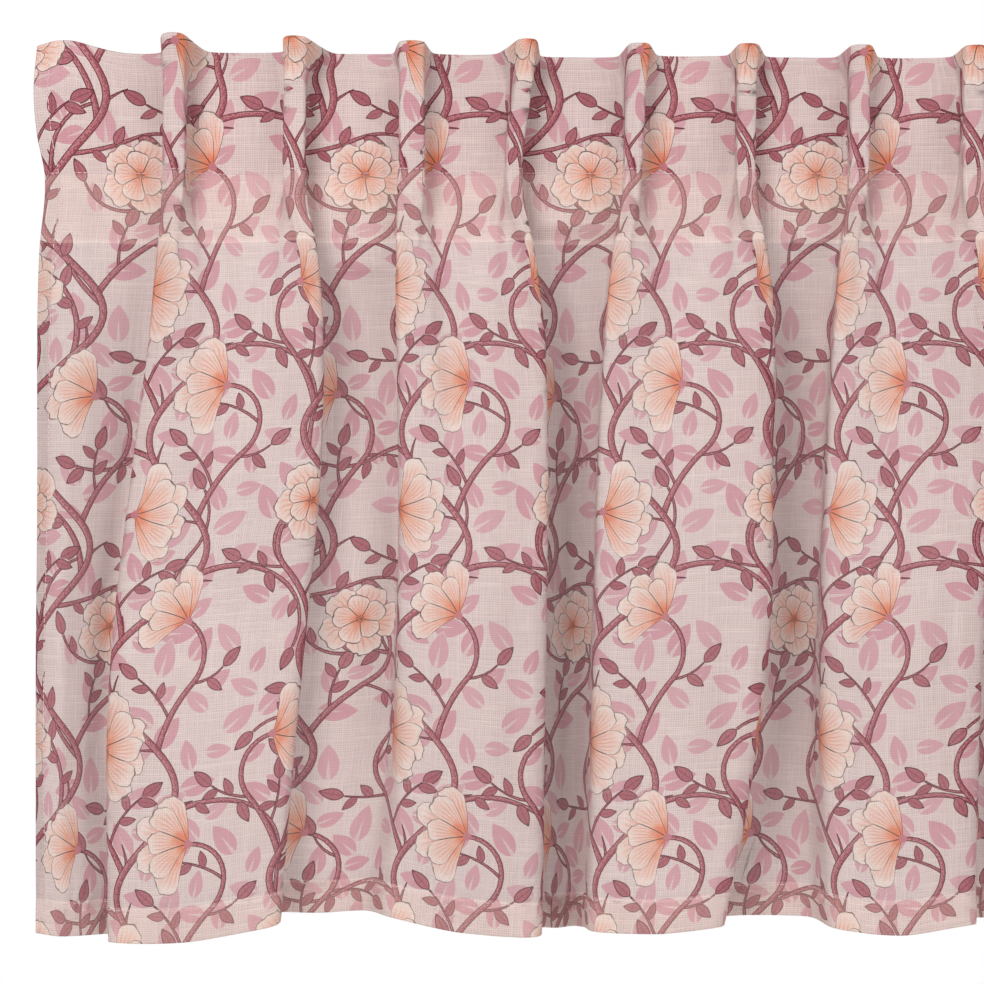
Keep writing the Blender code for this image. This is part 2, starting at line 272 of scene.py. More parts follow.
def fold_knots(fold, drop):
    """Knots of one broad fold, with a wall at each side. What its face has to spare lengthens its walls."""
    left, right = FOLD_EDGES[2 * fold], FOLD_EDGES[2 * fold + 1]
    x0, x1 = (float(smooth_between(drop, LEVELS, places)) for _, _, places in (left, right))
    hem_share = ramp(drop, 0.25, DROP)
    tuck0, tuck1 = (tuck + hem_share * (at_hem - tuck) for tuck, at_hem, _ in (left, right))
    swell = 1 + (FOLD_SWELL[fold] - 1) * ramp(drop, HEADING, 0.24)
    u0, u1 = fold_span(fold)

    across = np.linspace(0.0, 1.0, FACE_SAMPLES)
    places = [place for place, _ in FACE]
    depths = [swell * smooth_between(drop, FACE_LEVELS, row) for _, row in FACE]
    depths = smooth_between(across, places, depths)
    line = [(t, x0 + t * (x1 - x0), float(d)) for t, d in zip(across, depths)]
    spare = max(0.0, u1 - u0 - length_of(line)) * ramp(drop, *SPARE_RELEASE)
    edge0, edge1 = u0 + LEFT_SHARE * spare, u1 - (1 - LEFT_SHARE) * spare
    face = [(edge0 + t * (edge1 - edge0), x, d) for t, x, d in line]

    foot0, foot1 = u0 - PLEAT_DEPTH, u1 + PLEAT_DEPTH
    wall0, wall1 = edge0 - foot0, foot1 - edge1
    first = (foot0, x0 + tuck0, face[0][2] - math.sqrt(wall0**2 - tuck0**2))
    last = (foot1, x1 - tuck1, face[-1][2] - math.sqrt(wall1**2 - tuck1**2))
    return [first, *face, last]


def valley_knots(start, end):
    """Knots from one wall's foot to the next, sagging back as far as the cloth between them lets it."""

    def sagging(sag):
        middle = []
        for t, share in ((0.2, 0.78), (0.5, 1.0), (0.8, 0.78)):
            u, x, depth = (a + t * (b - a) for a, b in zip(start, end))
            middle.append((u, x, depth - share * sag))
        return [start, *middle, end]

    return [(u, x, max(depth, DEEPEST_VALLEY)) for u, x, depth in stretched(sagging, MOST_SAG)[1:-1]]


def end_knots(drop, edge, foot):
    """Knots across an end of the cloth, from its edge (u, x) to the nearest wall's foot (u, x, depth)."""
    (u0, x0), (u1, x1, _) = edge, foot
    return [
        (u0 + t * (u1 - u0), x0 + t * (x1 - x0), float(smooth_between(drop, END_LEVELS, depths)))
        for t, depths in END
    ]


def fold_section(drop):
    """Knots (u, x, depth) of the cross-section below the heading: broad folds with valleys between them."""
    folds = [fold_knots(fold, drop) for fold in range(len(FOLD_SWELL))]
    knots = end_knots(drop, (0.0, 0.0), folds[0][0])[:-1]
    for fold, following in zip(folds, folds[1:]):
        knots += fold + valley_knots(fold[-1], following[0])
    knots += folds[-1]
    knots += end_knots(drop, (flat_width(), HUNG_WIDTH), folds[-1][-1])[-2::-1]
    return np.array(knots)


def rounded(line, length):
    """The line, sampled at STEP, with its corners rounded over about this length. Its two ends stay."""
    reach = int(math.ceil(3 * length / STEP))
    weights = np.exp(-0.5 * (np.arange(-reach, reach + 1) * STEP / length) ** 2)
    before = 2 * line[0] - line[reach:0:-1]
    after = 2 * line[-1] - line[-2 : -reach - 2 : -1]
    return np.convolve(np.concatenate([before, line, after]), weights / weights.sum(), mode="valid")


def cross_section(drop):
    """The cloth's x and its depth at this drop, sampled every STEP along the cloth."""
    u = np.linspace(0.0, flat_width(), int(round(flat_width() / STEP)) + 1)
    opened = ramp(drop, *PLEAT_RELEASE)
    heading, folds = heading_section(drop), fold_section(drop)
    shares = ((1 - opened, heading), (opened, folds))
    x, depth = (sum(share * np.interp(u, *knots[:, [0, k]].T) for share, knots in shares) for k in (1, 2))
    drops, left, right = np.array(EDGE_SWING).T
    x += smooth_between(drop, drops, left) * (1 - ramp(u, 0.0, SWING_REACH))
    x += smooth_between(drop, drops, right) * ramp(u, u[-1] - SWING_REACH, u[-1])
    length = float(np.interp(drop, *np.array(ROUNDING).T))
    return rounded(x, length), rounded(depth, length)


def hem_lift(u):
    """How far the hem is drawn up at u."""
    spans = [fold_span(fold) for fold in range(len(HEM_LIFTS))]
    knots = [(0.0, HEM_LIFT_AT_ENDS)]
    for (u0, u1), following, row in zip(spans, [*spans[1:], None], HEM_LIFTS):
        left, belly, crest, right, valley = row
        across = u1 - u0
        knots += [(u0, left), (u0 + BELLY * across, belly), (u0 + CREST * across, crest), (u1, right)]
        knots.append(((u1 + following[0]) / 2, valley) if following else (flat_width(), HEM_LIFT_AT_ENDS))
    return smooth_between(u, *np.array(knots).T)


def top_lift(u):
    """How far the top edge is drawn up at u."""
    stations = pleat_stations()
    lifted = sum(row[2] * bump(u - station, PLEAT_REACH) for station, row in zip(stations, PLEATS))
    middles = [(u0 + u1) / 2 for u0, u1 in zip(stations, [*stations[1:], flat_width()])]
    lifted += smooth_between(u, [0.0, *middles], [0.0, *(row[7] for row in PLEATS)])
    for corner, rise in zip((CORNER_INSET, flat_width() - CORNER_INSET), CORNER_LIFTS):
        lifted += rise * bump(u - corner, CORNER_REACH)
    return lifted


def lift(u, drop):
    return top_lift(u) * bump(drop, LIFT_FADE) + hem_lift(u) * (drop / DROP) ** 2


# ---- The sheet: its hems and its fine creases

WIDTH = flat_width()
SIDE_HEM = 0.009
BOTTOM_HEM = 0.019
TOP_TURN = 0.106  # turned down behind the heading and on past the seam there
# Radii of the turned edges at the sides, and at the top and bottom. Unlike, so that no two layers coincide.
SIDE_RADIUS, END_RADIUS = 0.0004, 0.0007
ROW_STEP = 0.0025  # spacing of the cross-sections that the hung face is read from
GRID_ROWS = int(round(DROP / ROW_STEP)) + 1
HEADING_SEAM = HEADING - 0.001
HEM_SEAM = DROP - 0.0175
SIDE_SEAM = 0.0078

# Pressed edges of each pleat, still seen below the heading: how far down the two reach.
PRESSED = (
    # left, right
    (0.060, 0.110),
    (0.150, 0.070),
    (0.330, 0.300),
    (0.080, 0.120),
    (0.110, 0.180),
    (0.200, 0.060),
    (0.120, 0.160),
    (0.090, 0.210),
    (0.180, 0.120),
    (0.100, 0.080),
)
PRESSED_HEIGHT = 0.0007
PRESSED_WIDTH = 0.0022
BELOW_HEADING = (HEADING - 0.004, HEADING + 0.006)  # drops between which they set in

# Soft creases: troughs have a negative height. Drift is how far one runs to the right as it falls.
CREASES = (
    # u, top, bottom, drift, width, height
    (0.030, 0.120, 0.300, 0.006, 0.0050, 0.0011),
    (0.052, 0.260, 0.480, -0.008, 0.0060, -0.0012),
    (0.112, 0.078, 0.170, 0.014, 0.0045, 0.0012),
    (0.128, 0.150, 0.330, 0.010, 0.0060, -0.0013),
    (0.152, 0.074, 0.190, -0.006, 0.0045, 0.0010),
    (0.170, 0.210, 0.440, -0.012, 0.0065, 0.0014),
    (0.188, 0.080, 0.160, -0.016, 0.0045, 0.0011),
    (0.236, 0.100, 0.300, 0.008, 0.0060, -0.0013),
    (0.262, 0.220, 0.470, -0.006, 0.0060, 0.0012),
    (0.322, 0.076, 0.240, 0.008, 0.0040, 0.0012),
    (0.338, 0.130, 0.420, 0.004, 0.0050, -0.0012),
    (0.356, 0.072, 0.210, -0.004, 0.0045, 0.0010),
    (0.372, 0.260, 0.480, 0.010, 0.0065, 0.0012),
    (0.388, 0.076, 0.170, -0.014, 0.0045, 0.0012),
    (0.446, 0.090, 0.260, 0.010, 0.0060, -0.0012),
    (0.470, 0.240, 0.450, -0.008, 0.0060, 0.0012),
    (0.526, 0.076, 0.200, 0.012, 0.0045, 0.0011),
    (0.545, 0.190, 0.400, 0.006, 0.0060, -0.0013),
    (0.562, 0.078, 0.190, -0.004, 0.0045, 0.0010),
    (0.580, 0.300, 0.480, 0.010, 0.0060, 0.0012),
    (0.596, 0.080, 0.180, -0.012, 0.0045, 0.0012),
    (0.655, 0.100, 0.320, 0.008, 0.0060, -0.0012),
    (0.680, 0.260, 0.470, -0.006, 0.0060, 0.0012),
    (0.730, 0.078, 0.180, 0.012, 0.0045, 0.0011),
    (0.750, 0.160, 0.350, 0.006, 0.0060, -0.0012),
    (0.768, 0.074, 0.220, -0.003, 0.0045, 0.0010),
    (0.786, 0.280, 0.470, 0.010, 0.0060, 0.0013),
    (0.802, 0.080, 0.170, -0.012, 0.0045, 0.0011),
    (0.862, 0.090, 0.290, 0.008, 0.0060, -0.0012),
    (0.886, 0.240, 0.460, -0.006, 0.0060, 0.0012),
    (0.936, 0.076, 0.190, 0.012, 0.0045, 0.0011),
    (0.956, 0.170, 0.380, 0.006, 0.0060, -0.0012),
    (0.974, 0.076, 0.200, -0.003, 0.0045, 0.0010),
    (1.010, 0.080, 0.180, -0.012, 0.0045, 0.0012),
    (1.068, 0.120, 0.330, 0.006, 0.0055, -0.0011),
    (1.092, 0.200, 0.460, -0.004, 0.0055, 0.0011),
)
# Uneven lie of the cloth, as smooth noise.
UNEVEN = (
    # (height, spacing along and down), seed
    ((0.0008, 0.042, 0.120), 3),
    ((0.0003, 0.015, 0.048), 5),
)
UNEVEN_AT_TOP, UNEVEN_BY = 0.4, 0.10  # its share at the top edge, and the drop where all of it is there
# Puckers under each pleat's foot.
PUCKER_PITCH = 0.0064
PUCKER_HEIGHT = 0.0005
PUCKER_REACHES = (0.024, 0.007, 0.020)  # along the cloth, above the foot and below it
PUCKER_WANDER = (0.4, 0.017, 0.06)  # amount, and its spacing along and down the cloth
PUCKER_SEED = 11
# Slanting ripples along the hem's seam.
RIPPLE_PITCH = 0.0105
RIPPLE_HEIGHT = 0.0005
RIPPLE_REACH = 0.009
RIPPLE_LEAN = 0.030
RIPPLE_WANDER = (0.5, 0.021, 0.1)
RIPPLE_SEED = 13
TROUGHS = (
    # drop, width, depth of a seam's trough
    (HEM_SEAM, 0.0032, 0.0007),
    (HEADING_SEAM, 0.0030, 0.0004),
)
NOISE_SIZE = 64


def lattice_noise(x, y, seed):
    """Smooth noise from -1 to 1 that takes a new value at each whole x and y."""
    values = np.random.default_rng(seed).uniform(-1, 1, (NOISE_SIZE, NOISE_SIZE))
    column, row = np.floor(x).astype(int), np.floor(y).astype(int)
    a, b = x - column, y - row
    a, b = a * a * (3 - 2 * a), b * b * (3 - 2 * b)

    def at(i, j):
        return values[(row + j) % NOISE_SIZE, (column + i) % NOISE_SIZE]

    return (1 - b) * ((1 - a) * at(0, 0) + a * at(1, 0)) + b * ((1 - a) * at(0, 1) + a * at(1, 1))


def wandering(u, drop, wander, seed):
    """Smooth noise of this (height, spacing along, spacing down) at places on the cloth."""
    height, along, down = wander
    return height * lattice_noise(u / along, drop / down, seed)


def turned(past, radius):
    """Cloth this far past a fold line: how far beyond the line it ends up, and how far behind the face."""
    angle = np.clip(past / radius, 0.0, math.pi)
    back = np.maximum(past - math.pi * radius, 0.0)
    beyond = np.where(past > 0, radius * np.sin(angle) - back, past)
    return beyond, radius * (1 - np.cos(angle))


def folded(u, y):
    """Where a point of the flat sheet lies once its hems are turned: along, down and behind the face."""
    left, behind_left = turned(-u, SIDE_RADIUS)
    right, behind_right = turned(u - WIDTH, SIDE_RADIUS)
    top, behind_top = turned(y, END_RADIUS)
    bottom, behind_bottom = turned(-y - DROP, END_RADIUS)
    along = np.where(u < WIDTH / 2, -left, WIDTH + right)
    drop = np.where(y > -DROP / 2, -top, DROP + bottom)
    return along, drop, behind_left + behind_right + behind_top + behind_bottom


def cubic_weights(t):
    """The four weights of a cubic convolution, for points t of the way between its middle two samples."""
    return (
        0.5 * (-t + 2 * t**2 - t**3),
        0.5 * (2 - 5 * t**2 + 3 * t**3),
        0.5 * (t + 4 * t**2 - 3 * t**3),
        0.5 * (t**3 - t**2),
    )


def sampled(grid, u, drop):
    """The grid's value at u and drop."""
    column, row = u / STEP, drop / ROW_STEP
    rows, columns = grid.shape
    i = np.clip(np.floor(column).astype(int), 0, columns - 2)
    j = np.clip(np.floor(row).astype(int), 0, rows - 2)
    value = 0.0
    for b, down in enumerate(cubic_weights(row - j), start=-1):
        for a, across in enumerate(cubic_weights(column - i), start=-1):
            value += down * across * grid[np.clip(j + b, 0, rows - 1), np.clip(i + a, 0, columns - 1)]
    return value


SECTIONS = [cross_section(row * ROW_STEP) for row in range(GRID_ROWS)]
GRID_X, GRID_DEPTH = np.array(SECTIONS).transpose(1, 0, 2)


def hung(u, drop):
    """World points of the plain hung face."""
    inside, inside_drop = np.clip(u, 0.0, WIDTH), np.clip(drop, 0.0, DROP)
    x = sampled(GRID_X, inside, inside_drop) + (u - inside) - HUNG_WIDTH / 2
    depth = sampled(GRID_DEPTH, inside, inside_drop)
    return np.stack([x, -depth, lift(inside, inside_drop) - drop], axis=-1)


def unit(vectors):
    return vectors / np.linalg.norm(vectors, axis=-1, keepdims=True)


def facing(u, drop):
    """Unit vectors out of the hung face, on its front."""
    down = hung(u, drop + STEP) - hung(u, drop - STEP)
    along = hung(u + STEP, drop) - hung(u - STEP, drop)
    return unit(np.cross(down, along))


def relief(u, drop):
    """How far the fine creases stand out of the hung face."""
    height = np.zeros_like(u)
    spread, above, under = PUCKER_REACHES
    at_foot = bump(drop - HEADING, np.where(drop > HEADING, under, above))
    puckers = np.sin(2 * math.pi * (u / PUCKER_PITCH + wandering(u, drop, PUCKER_WANDER, PUCKER_SEED)))
    for start, top, bottom, drift, width, rise in CREASES:
        share = np.clip((drop - top) / (bottom - top), 0.0, 1.0)
        height += rise * bump(u - start - drift * share, width) * np.sin(math.pi * share) ** 0.7
    below = ramp(drop, *BELOW_HEADING)
    for station, (_, face, *_), reaches in zip(pleat_stations(), PLEATS, PRESSED):
        for side, reach in zip((-1, 1), reaches):
            edge = bump(u - station - side * face / 2, PRESSED_WIDTH)
            height += PRESSED_HEIGHT * edge * below * (1 - ramp(drop, HEADING, HEADING + reach))
        height += PUCKER_HEIGHT * bump(u - station, spread) * at_foot * puckers
    felt = UNEVEN_AT_TOP + (1 - UNEVEN_AT_TOP) * ramp(drop, 0.0, UNEVEN_BY)
    height += felt * sum(wandering(u, drop, bulges, seed) for bulges, seed in UNEVEN)
    at_seam = drop - HEM_SEAM
    phase = u / RIPPLE_PITCH + wandering(u, drop, RIPPLE_WANDER, RIPPLE_SEED) + at_seam / RIPPLE_LEAN
    height += RIPPLE_HEIGHT * bump(at_seam, RIPPLE_REACH) * np.sin(2 * math.pi * phase)
    for seam, width, depth in TROUGHS:
        height -= depth * bump(drop - seam, width)
    return height


def draped(u, y):
    """World points of the sheet at places on the flat cloth."""
    along, drop, behind = folded(u, y)
    return hung(along, drop) + facing(along, drop) * (relief(along, drop) - behind)[..., None]


def on_face(u, drop, above):
    """World points that stand this far above the printed face."""
    return hung(u, drop) + facing(u, drop) * (relief(u, drop) + above)[..., None]


# ---- The print: an all-over trailing floral, drawn in millimetres on the flat cloth, x right and y up

MM = 0.001
REPEAT = (206.0, 255.0)
REPEAT_START = (-24.0, -120.0)  # where one repeat's corner lies
COLUMNS, ROWS = range(-2, 7), range(-4, 3)  # the repeats that are drawn
STATION = 4.5  # spacing of the points along a stem

MAIN_STEMS = (
    # middle, swing, phase, slow swing, slow phase, width
    (38.0, 23.0, -3.30, 6.0, 0.6, 4.2),
    (141.0, 21.0, -3.05, -7.0, 1.4, 4.1),
)
# A branch leaves a main stem at a height, at an angle to its left (+) or right (-), and runs to its blossom
# in arcs of (length, turn). The blossom has so many petals, each of so many degrees.
BRANCHES = (
    # stem, height, angle, arcs, width, tip width, blossom radius, petals, petal degrees
    (0, 240.0, -58, ((44, -34), (50, 150)), 3.8, 2.7, 24.0, 5, 72),
    (1, 48.0, 52, ((40, 26), (44, -120)), 3.8, 2.7, 33.0, 3, 38),
    (0, 112.0, -56, ((38, -26), (52, 130)), 3.7, 2.7, 31.0, 3, 40),
    (1, 172.0, 52, ((44, 32), (48, -140)), 3.8, 2.7, 34.0, 3, 42),
    (1, 242.0, -54, ((42, -30), (40, 100)), 3.7, 2.7, 30.0, 3, 36),
    (0, 50.0, 50, ((40, 30), (46, -120)), 3.8, 2.7, 24.0, 5, 72),
    (1, 114.0, -56, ((44, -32), (52, 140)), 3.8, 2.7, 33.0, 3, 40),
    (0, 176.0, 50, ((40, 26), (44, -120)), 3.7, 2.7, 31.0, 3, 38),
)
# Leafy shoots without a blossom.
SHOOTS = (
    # stem, height, angle, arcs, width, tip width
    (0, 26.0, -26, ((44, -20), (34, -50)), 3.6, 1.8),
    (0, 84.0, 34, ((50, 70), (36, 90), (20, 60)), 3.8, 2.0),
    (0, 150.0, -30, ((46, -30), (40, 70)), 3.2, 1.6),
    (0, 204.0, 30, ((44, 60), (44, 90)), 3.6, 1.8),
    (1, 84.0, -30, ((54, -60), (44, -80)), 3.8, 1.8),
    (1, 146.0, 32, ((48, 60), (34, -50)), 3.4, 1.8),
    (1, 22.0, 30, ((44, 50), (34, -80)), 3.2, 1.6),
    (1, 204.0, -30, ((50, -55), (44, -80)), 3.6, 1.8),
    (0, 66.0, -40, ((36, 20), (34, -60)), 3.0, 1.6),
    (0, 232.0, 36, ((30, -20), (30, 60)), 3.0, 1.6),
    (1, 66.0, 36, ((36, -24), (36, 70)), 3.0, 1.6),
)
SHOOT_LEAF_SPACING = 13.0
FIRST_LEAVES = (0.42, 0.18, 0.05)  # share of a twig, a shoot and a spray that is bare of leaves
# Twigs on the branches: the first one's distance from the main stem, and from each to the next.
TWIG_START, TWIG_SPACING = 20, 22.0
TWIG_ANGLE = 50
TWIGS = ((24, 35), (30, -30), (20, 45), (34, -40), (27, 25))  # (length, turn), taken in turn
TWIG_WIDTHS = (2.0, 1.2)
BARE_TIP = 0.8  # of a branch, in blossom radii
# Short bare spurs on the main stems.
SPUR_LENGTH = 3 * STATION
SPUR_GAPS = (11, 9)  # stations from one to the next, on each main stem
SPUR_ANGLE = 38
SPUR_WIDTHS = (2.2, 0.7)
# Sprays of pale leaves behind them all.
SPRAY_COUNT = 56
SPRAY_LENGTH = 42.0
SPRAY_STEPS = (0.755, 0.570)  # from one spray to the next, as shares of the repeat
DARK_LEAF = (14.5, 8.5, 0.245)  # (length, spacing, half width as a share of the length)
PALE_LEAF = (22.0, 12.0, 0.265)
LEAF_ANGLE = 48
LEAST_TONE, NO_TONE = 0.25, 0.1  # a leaf's tone is the first or more, and under the second there is no leaf
GOLDEN = 0.618  # its multiples spread evenly between whole numbers
LEAF_MIDDLE = 0.55  # of its length, where its distance from others is taken
DARK_GAPS = (4.5, 7.5)  # least distance of a dark leaf from a thick stem, and from another dark leaf
PALE_GAP = 13.5
# Outline that holds a leaf: shares of its length from base to tip, and of its greatest half width.
LEAF_FRAME = ((-0.03, 0.0), (0.12, 0.90), (0.62, 1.18), (1.03, 0.0))
# Outline that holds a blossom, as shares of its radius, with degrees to spare at each end of an open fan.
BLOOM_SIDES = 13
BLOOM_REACH, BLOOM_FOOT = 1.1, 0.12
BLOOM_SPARE = 16

LAYERS = PALE, STEM, LEAF, BLOOM = range(4)  # from the ground up
FRAME_SIZE = 9  # most numbers that place a printed shape's own axes


def heading_vector(degrees):
    return np.array([math.cos(math.radians(degrees)), math.sin(math.radians(degrees))])


def run(start, heading, arcs):
    """Points every STATION along arcs of (length, turn), and the heading at their end."""
    path = [np.array(start, float)]
    for length, turn in arcs:
        count = max(2, int(round(length / STATION)))
        for step in range(count):
            path.append(path[-1] + length / count * heading_vector(heading + turn * (step + 0.5) / count))
        heading += turn
    return np.array(path), heading


def heading_at(path, i):
    along = path[min(i + 1, len(path) - 1)] - path[max(i - 1, 0)]
    return math.degrees(math.atan2(along[1], along[0]))


def tapered(path, first, last):
    return np.linspace(first, last, len(path)) / 2


def main_stem(middle, swing, phase, slow_swing, slow_phase, width):
    """A stem that winds up the cloth and meets itself one repeat higher."""
    turns = np.linspace(0.0, 2 * math.pi, int(round(1.25 * REPEAT[1] / STATION)) + 1)
    x = middle + swing * np.sin(2 * turns + phase) + slow_swing * np.sin(turns + slow_phase)
    path = np.stack([x, turns / (2 * math.pi) * REPEAT[1]], axis=1)
    return path, tapered(path, width, width)


def leaves_along(path, end_heading, size, start):
    """Leaves on alternate sides of a twig, and one at its tip, as (place, heading, length)."""
    length, spacing = size[:2]
    leaves = [(path[-1], end_heading, length)]
    places = np.arange(start * (len(path) - 1), len(path) - 1.5, spacing / STATION)
    for k, place in enumerate(places):
        i = int(place)
        at = path[i] + (place - i) * (path[i + 1] - path[i])
        side = LEAF_ANGLE if k % 2 else -LEAF_ANGLE
        leaves.append((at, heading_at(path, i) + side, length * (0.86 + 0.14 * math.cos(5 * k + place))))
    return leaves


def clearance(place, others):
    """Distance from a place to the nearest of the others, over the repeats too."""
    gaps = np.abs(place - np.reshape(others, (-1, 2))) % REPEAT
    return np.hypot(*np.minimum(gaps, REPEAT - gaps).T).min(initial=math.inf)


def well_apart(leaves, from_leaves, stems=(), from_stems=0.0):
    """The leaves whose middles keep these distances from each other and from the stems."""
    kept, taken = [], []
    for place, heading, length in leaves:
        middle = place + LEAF_MIDDLE * length * heading_vector(heading)
        if clearance(middle, stems) > from_stems and clearance(middle, taken) > from_leaves:
            kept.append((place, heading, length))
            taken.append(middle)
    return kept


def one_repeat():
    """One repeat of the print: stems as (path, half widths), leaves, pale leaves and blossoms."""
    mains = [main_stem(*row) for row in MAIN_STEMS]
    twigs, shoots, branches, leaves, blossoms = [], [], [], [], []

    def leave(row):
        stem, height, angle, arcs, width, tip_width = row[:6]
        foot = int(round(height / REPEAT[1] * (len(mains[stem][0]) - 1)))
        path, end = run(mains[stem][0][foot], heading_at(mains[stem][0], foot) + angle, arcs)
        return path, end, tapered(path, width, tip_width)

    for row in BRANCHES:
        path, end, widths = leave(row)
        radius, petals, degrees = row[6:]
        branches.append((path, widths))
        blossoms.append((path[-1], end, radius, petals, degrees))
        side = math.copysign(1, row[2])
        for k in range(int((len(path) * STATION - BARE_TIP * radius) / TWIG_SPACING)):
            i = int((TWIG_START + k * TWIG_SPACING) / STATION)
            side = -side
            length, turn = TWIGS[len(twigs) % len(TWIGS)]
            twig, tip = run(path[i], heading_at(path, i) + side * TWIG_ANGLE, ((length, -turn * side),))
            twigs.append((twig, tapered(twig, *TWIG_WIDTHS)))
            leaves += leaves_along(twig, tip, DARK_LEAF, FIRST_LEAVES[0])
    for row in SHOOTS:
        path, end, widths = leave(row)
        shoots.append((path, widths))
        leaves += leaves_along(path, end, (DARK_LEAF[0], SHOOT_LEAF_SPACING), FIRST_LEAVES[1])
    for (path, _), gap in zip(mains, SPUR_GAPS):
        for i in range(4, len(path) - 4, gap):
            side = SPUR_ANGLE if i % 2 else -SPUR_ANGLE
            spur, _ = run(path[i], heading_at(path, i) + side, ((SPUR_LENGTH, side / 2),))
            twigs.append((spur, tapered(spur, *SPUR_WIDTHS)))
    thick = np.concatenate([path for path, _ in mains + branches])
    leaves = well_apart(leaves, DARK_GAPS[1], thick, DARK_GAPS[0])
    pale = []
    for k in range(SPRAY_COUNT):
        place = np.array(REPEAT) * (SPRAY_STEPS[0] * k % 1, SPRAY_STEPS[1] * k % 1)
        path, end = run(place, 90 + 50 * math.sin(2.4 * k), ((SPRAY_LENGTH, 40 * math.cos(1.7 * k)),))
        pale += leaves_along(path, end, PALE_LEAF, FIRST_LEAVES[2])
    pale = well_apart(pale, PALE_GAP)
    return twigs + shoots + branches + mains, leaves, pale, blossoms


SHEET = np.array(((-SIDE_HEM, -DROP - BOTTOM_HEM), (WIDTH + SIDE_HEM, TOP_TURN)))  # its flat corners


class Print:
    """The print's polygons on the flat sheet, with their layers and what places each one's own axes."""

    def __init__(self):
        self.points, self.faces, self.layers, self.frames = [], [], [], []

    def add(self, layer, outline, *frame):
        """Adds a polygon, if it reaches the sheet, and pads its frame."""
        if (np.max(outline, axis=0) > SHEET[0]).all() and (np.min(outline, axis=0) < SHEET[1]).all():
            first = len(self.points)
            self.points += [tuple(point) for point in outline]
            self.faces.append(list(range(first, first + len(outline))))
            self.layers.append(layer)
            self.frames.append([*frame, *[0.0] * (FRAME_SIZE - len(frame))])

    def add_leaf(self, layer, place, heading, length, tone):
        ahead = heading_vector(heading)
        half = (DARK_LEAF if layer == LEAF else PALE_LEAF)[2]
        left = half * np.array([-ahead[1], ahead[0]])
        shares = [*((s, -t) for s, t in LEAF_FRAME), *((s, t) for s, t in LEAF_FRAME[-2:0:-1])]
        outline = [place + length * (s * ahead + t * left) for s, t in shares]
        self.add(layer, outline, *place, *ahead, length, tone)

    def add_blossom(self, place, heading, radius, petals, degrees, seed):
        ahead = heading_vector(heading)
        spread = min(360.0, (petals + 1) * degrees + BLOOM_SPARE)
        bearings = heading + spread * (np.arange(BLOOM_SIDES) / (BLOOM_SIDES - 1) - 0.5)
        outline = [place + BLOOM_REACH * radius * heading_vector(bearing) for bearing in bearings]
        if spread < 360:
            outline.append(place - BLOOM_FOOT * radius * ahead)
        else:
            outline.pop()
        self.add(BLOOM, outline, *place, *ahead, radius, petals, math.radians(degrees), seed)

    def add_stem(self, path, halves):
        """A strip of four-sided pieces, with their middle lines, half widths and their ends' directions."""
        along = unit(np.gradient(path, axis=0))
        left = np.stack([-along[:, 1], along[:, 0]], axis=1)
        sides = path + left * halves[:, None], path - left * halves[:, None]
        for i in range(len(path) - 1):
            outline = [sides[1][i], sides[1][i + 1], sides[0][i + 1], sides[0][i]]
            angles = [math.atan2(vector[1], vector[0]) for vector in left[i : i + 2]]
            self.add(STEM, outline, *path[i], *path[i + 1], *angles, *halves[i : i + 2], i)


def printed_sheet():
    """The whole print over the flat sheet."""
    stems, leaves, pale, blossoms = one_repeat()
    drawing = Print()
    first, size = MM * np.array(REPEAT_START), MM * np.array(REPEAT)
    corners = [first + size * (i, j) for i in COLUMNS for j in ROWS]
    for layer, group in ((PALE, pale), (LEAF, leaves)):
        for k, (place, heading, length) in enumerate(group):
            tone = LEAST_TONE + (1 - LEAST_TONE) * (k * GOLDEN % 1.0)
            for corner in corners:
                drawing.add_leaf(layer, corner + MM * place, heading, MM * length, tone)
    for path, halves in stems:
        for corner in corners:
            drawing.add_stem(corner + MM * path, MM * halves)
    for k, (place, heading, radius, petals, degrees) in enumerate(blossoms):
        for corner in corners:
            drawing.add_blossom(corner + MM * place, heading, MM * radius, petals, degrees, k)
    return drawing


# ---- The cloth's mesh

COLUMN_STEP = 0.0043
CREASE_STEP = 0.0020  # across the folds of the pleats
CREASE_REACH = 0.005
TOP_TURN_ROW_STEP = 0.0110
HEADING_ROW_STEP = 0.0055
LOWER_ROW_STEP = 0.0072
FINE_TO = 0.115  # drop down to which the pleats' folds keep their close columns
NORMAL_REACH = 0.0004
MERGE = 1e-6  # distance within which the triangulation joins points
TONE_SPOTS = (
    # (strength, spacing along and down), seed
    ((0.03, 0.07, 0.09), 31),
    ((0.02, 0.012, 0.03), 33),
)


def turn_lines(at, turn):
    """Lines along a turned edge: the fold line, two on the turn itself, and where the turn ends."""
    return [at + math.pi * turn * share for share in (0.0, 1 / 3, 2 / 3, 1.0)]


LINES_ACROSS = turn_lines(0.0, END_RADIUS) + turn_lines(-DROP, -END_RADIUS)
LINES_UPWARD = turn_lines(0.0, -SIDE_RADIUS) + turn_lines(WIDTH, SIDE_RADIUS)


def evenly(start, end, spacing):
    count = max(1, int(round(abs(end - start) / spacing)))
    return list(np.linspace(start, end, count + 1))


def sheet_columns(fine):
    """Places along the sheet for a row of points, close together at the pleats' folds."""
    corners = sorted(
        station + side * place
        for station, (_, face, *_) in zip(pleat_stations(), PLEATS)
        for side in (-1, 1)
        for place in (face / 2, face / 2 + PLEAT_DEPTH)
    )
    places = [-SIDE_HEM, *LINES_UPWARD, WIDTH + SIDE_HEM]
    at = 0.0
    while at < WIDTH - COLUMN_STEP:
        near = fine and min(abs(at - corner) for corner in corners) < CREASE_REACH
        at += CREASE_STEP if near else COLUMN_STEP
        places.append(at)
    return sorted(set(places))


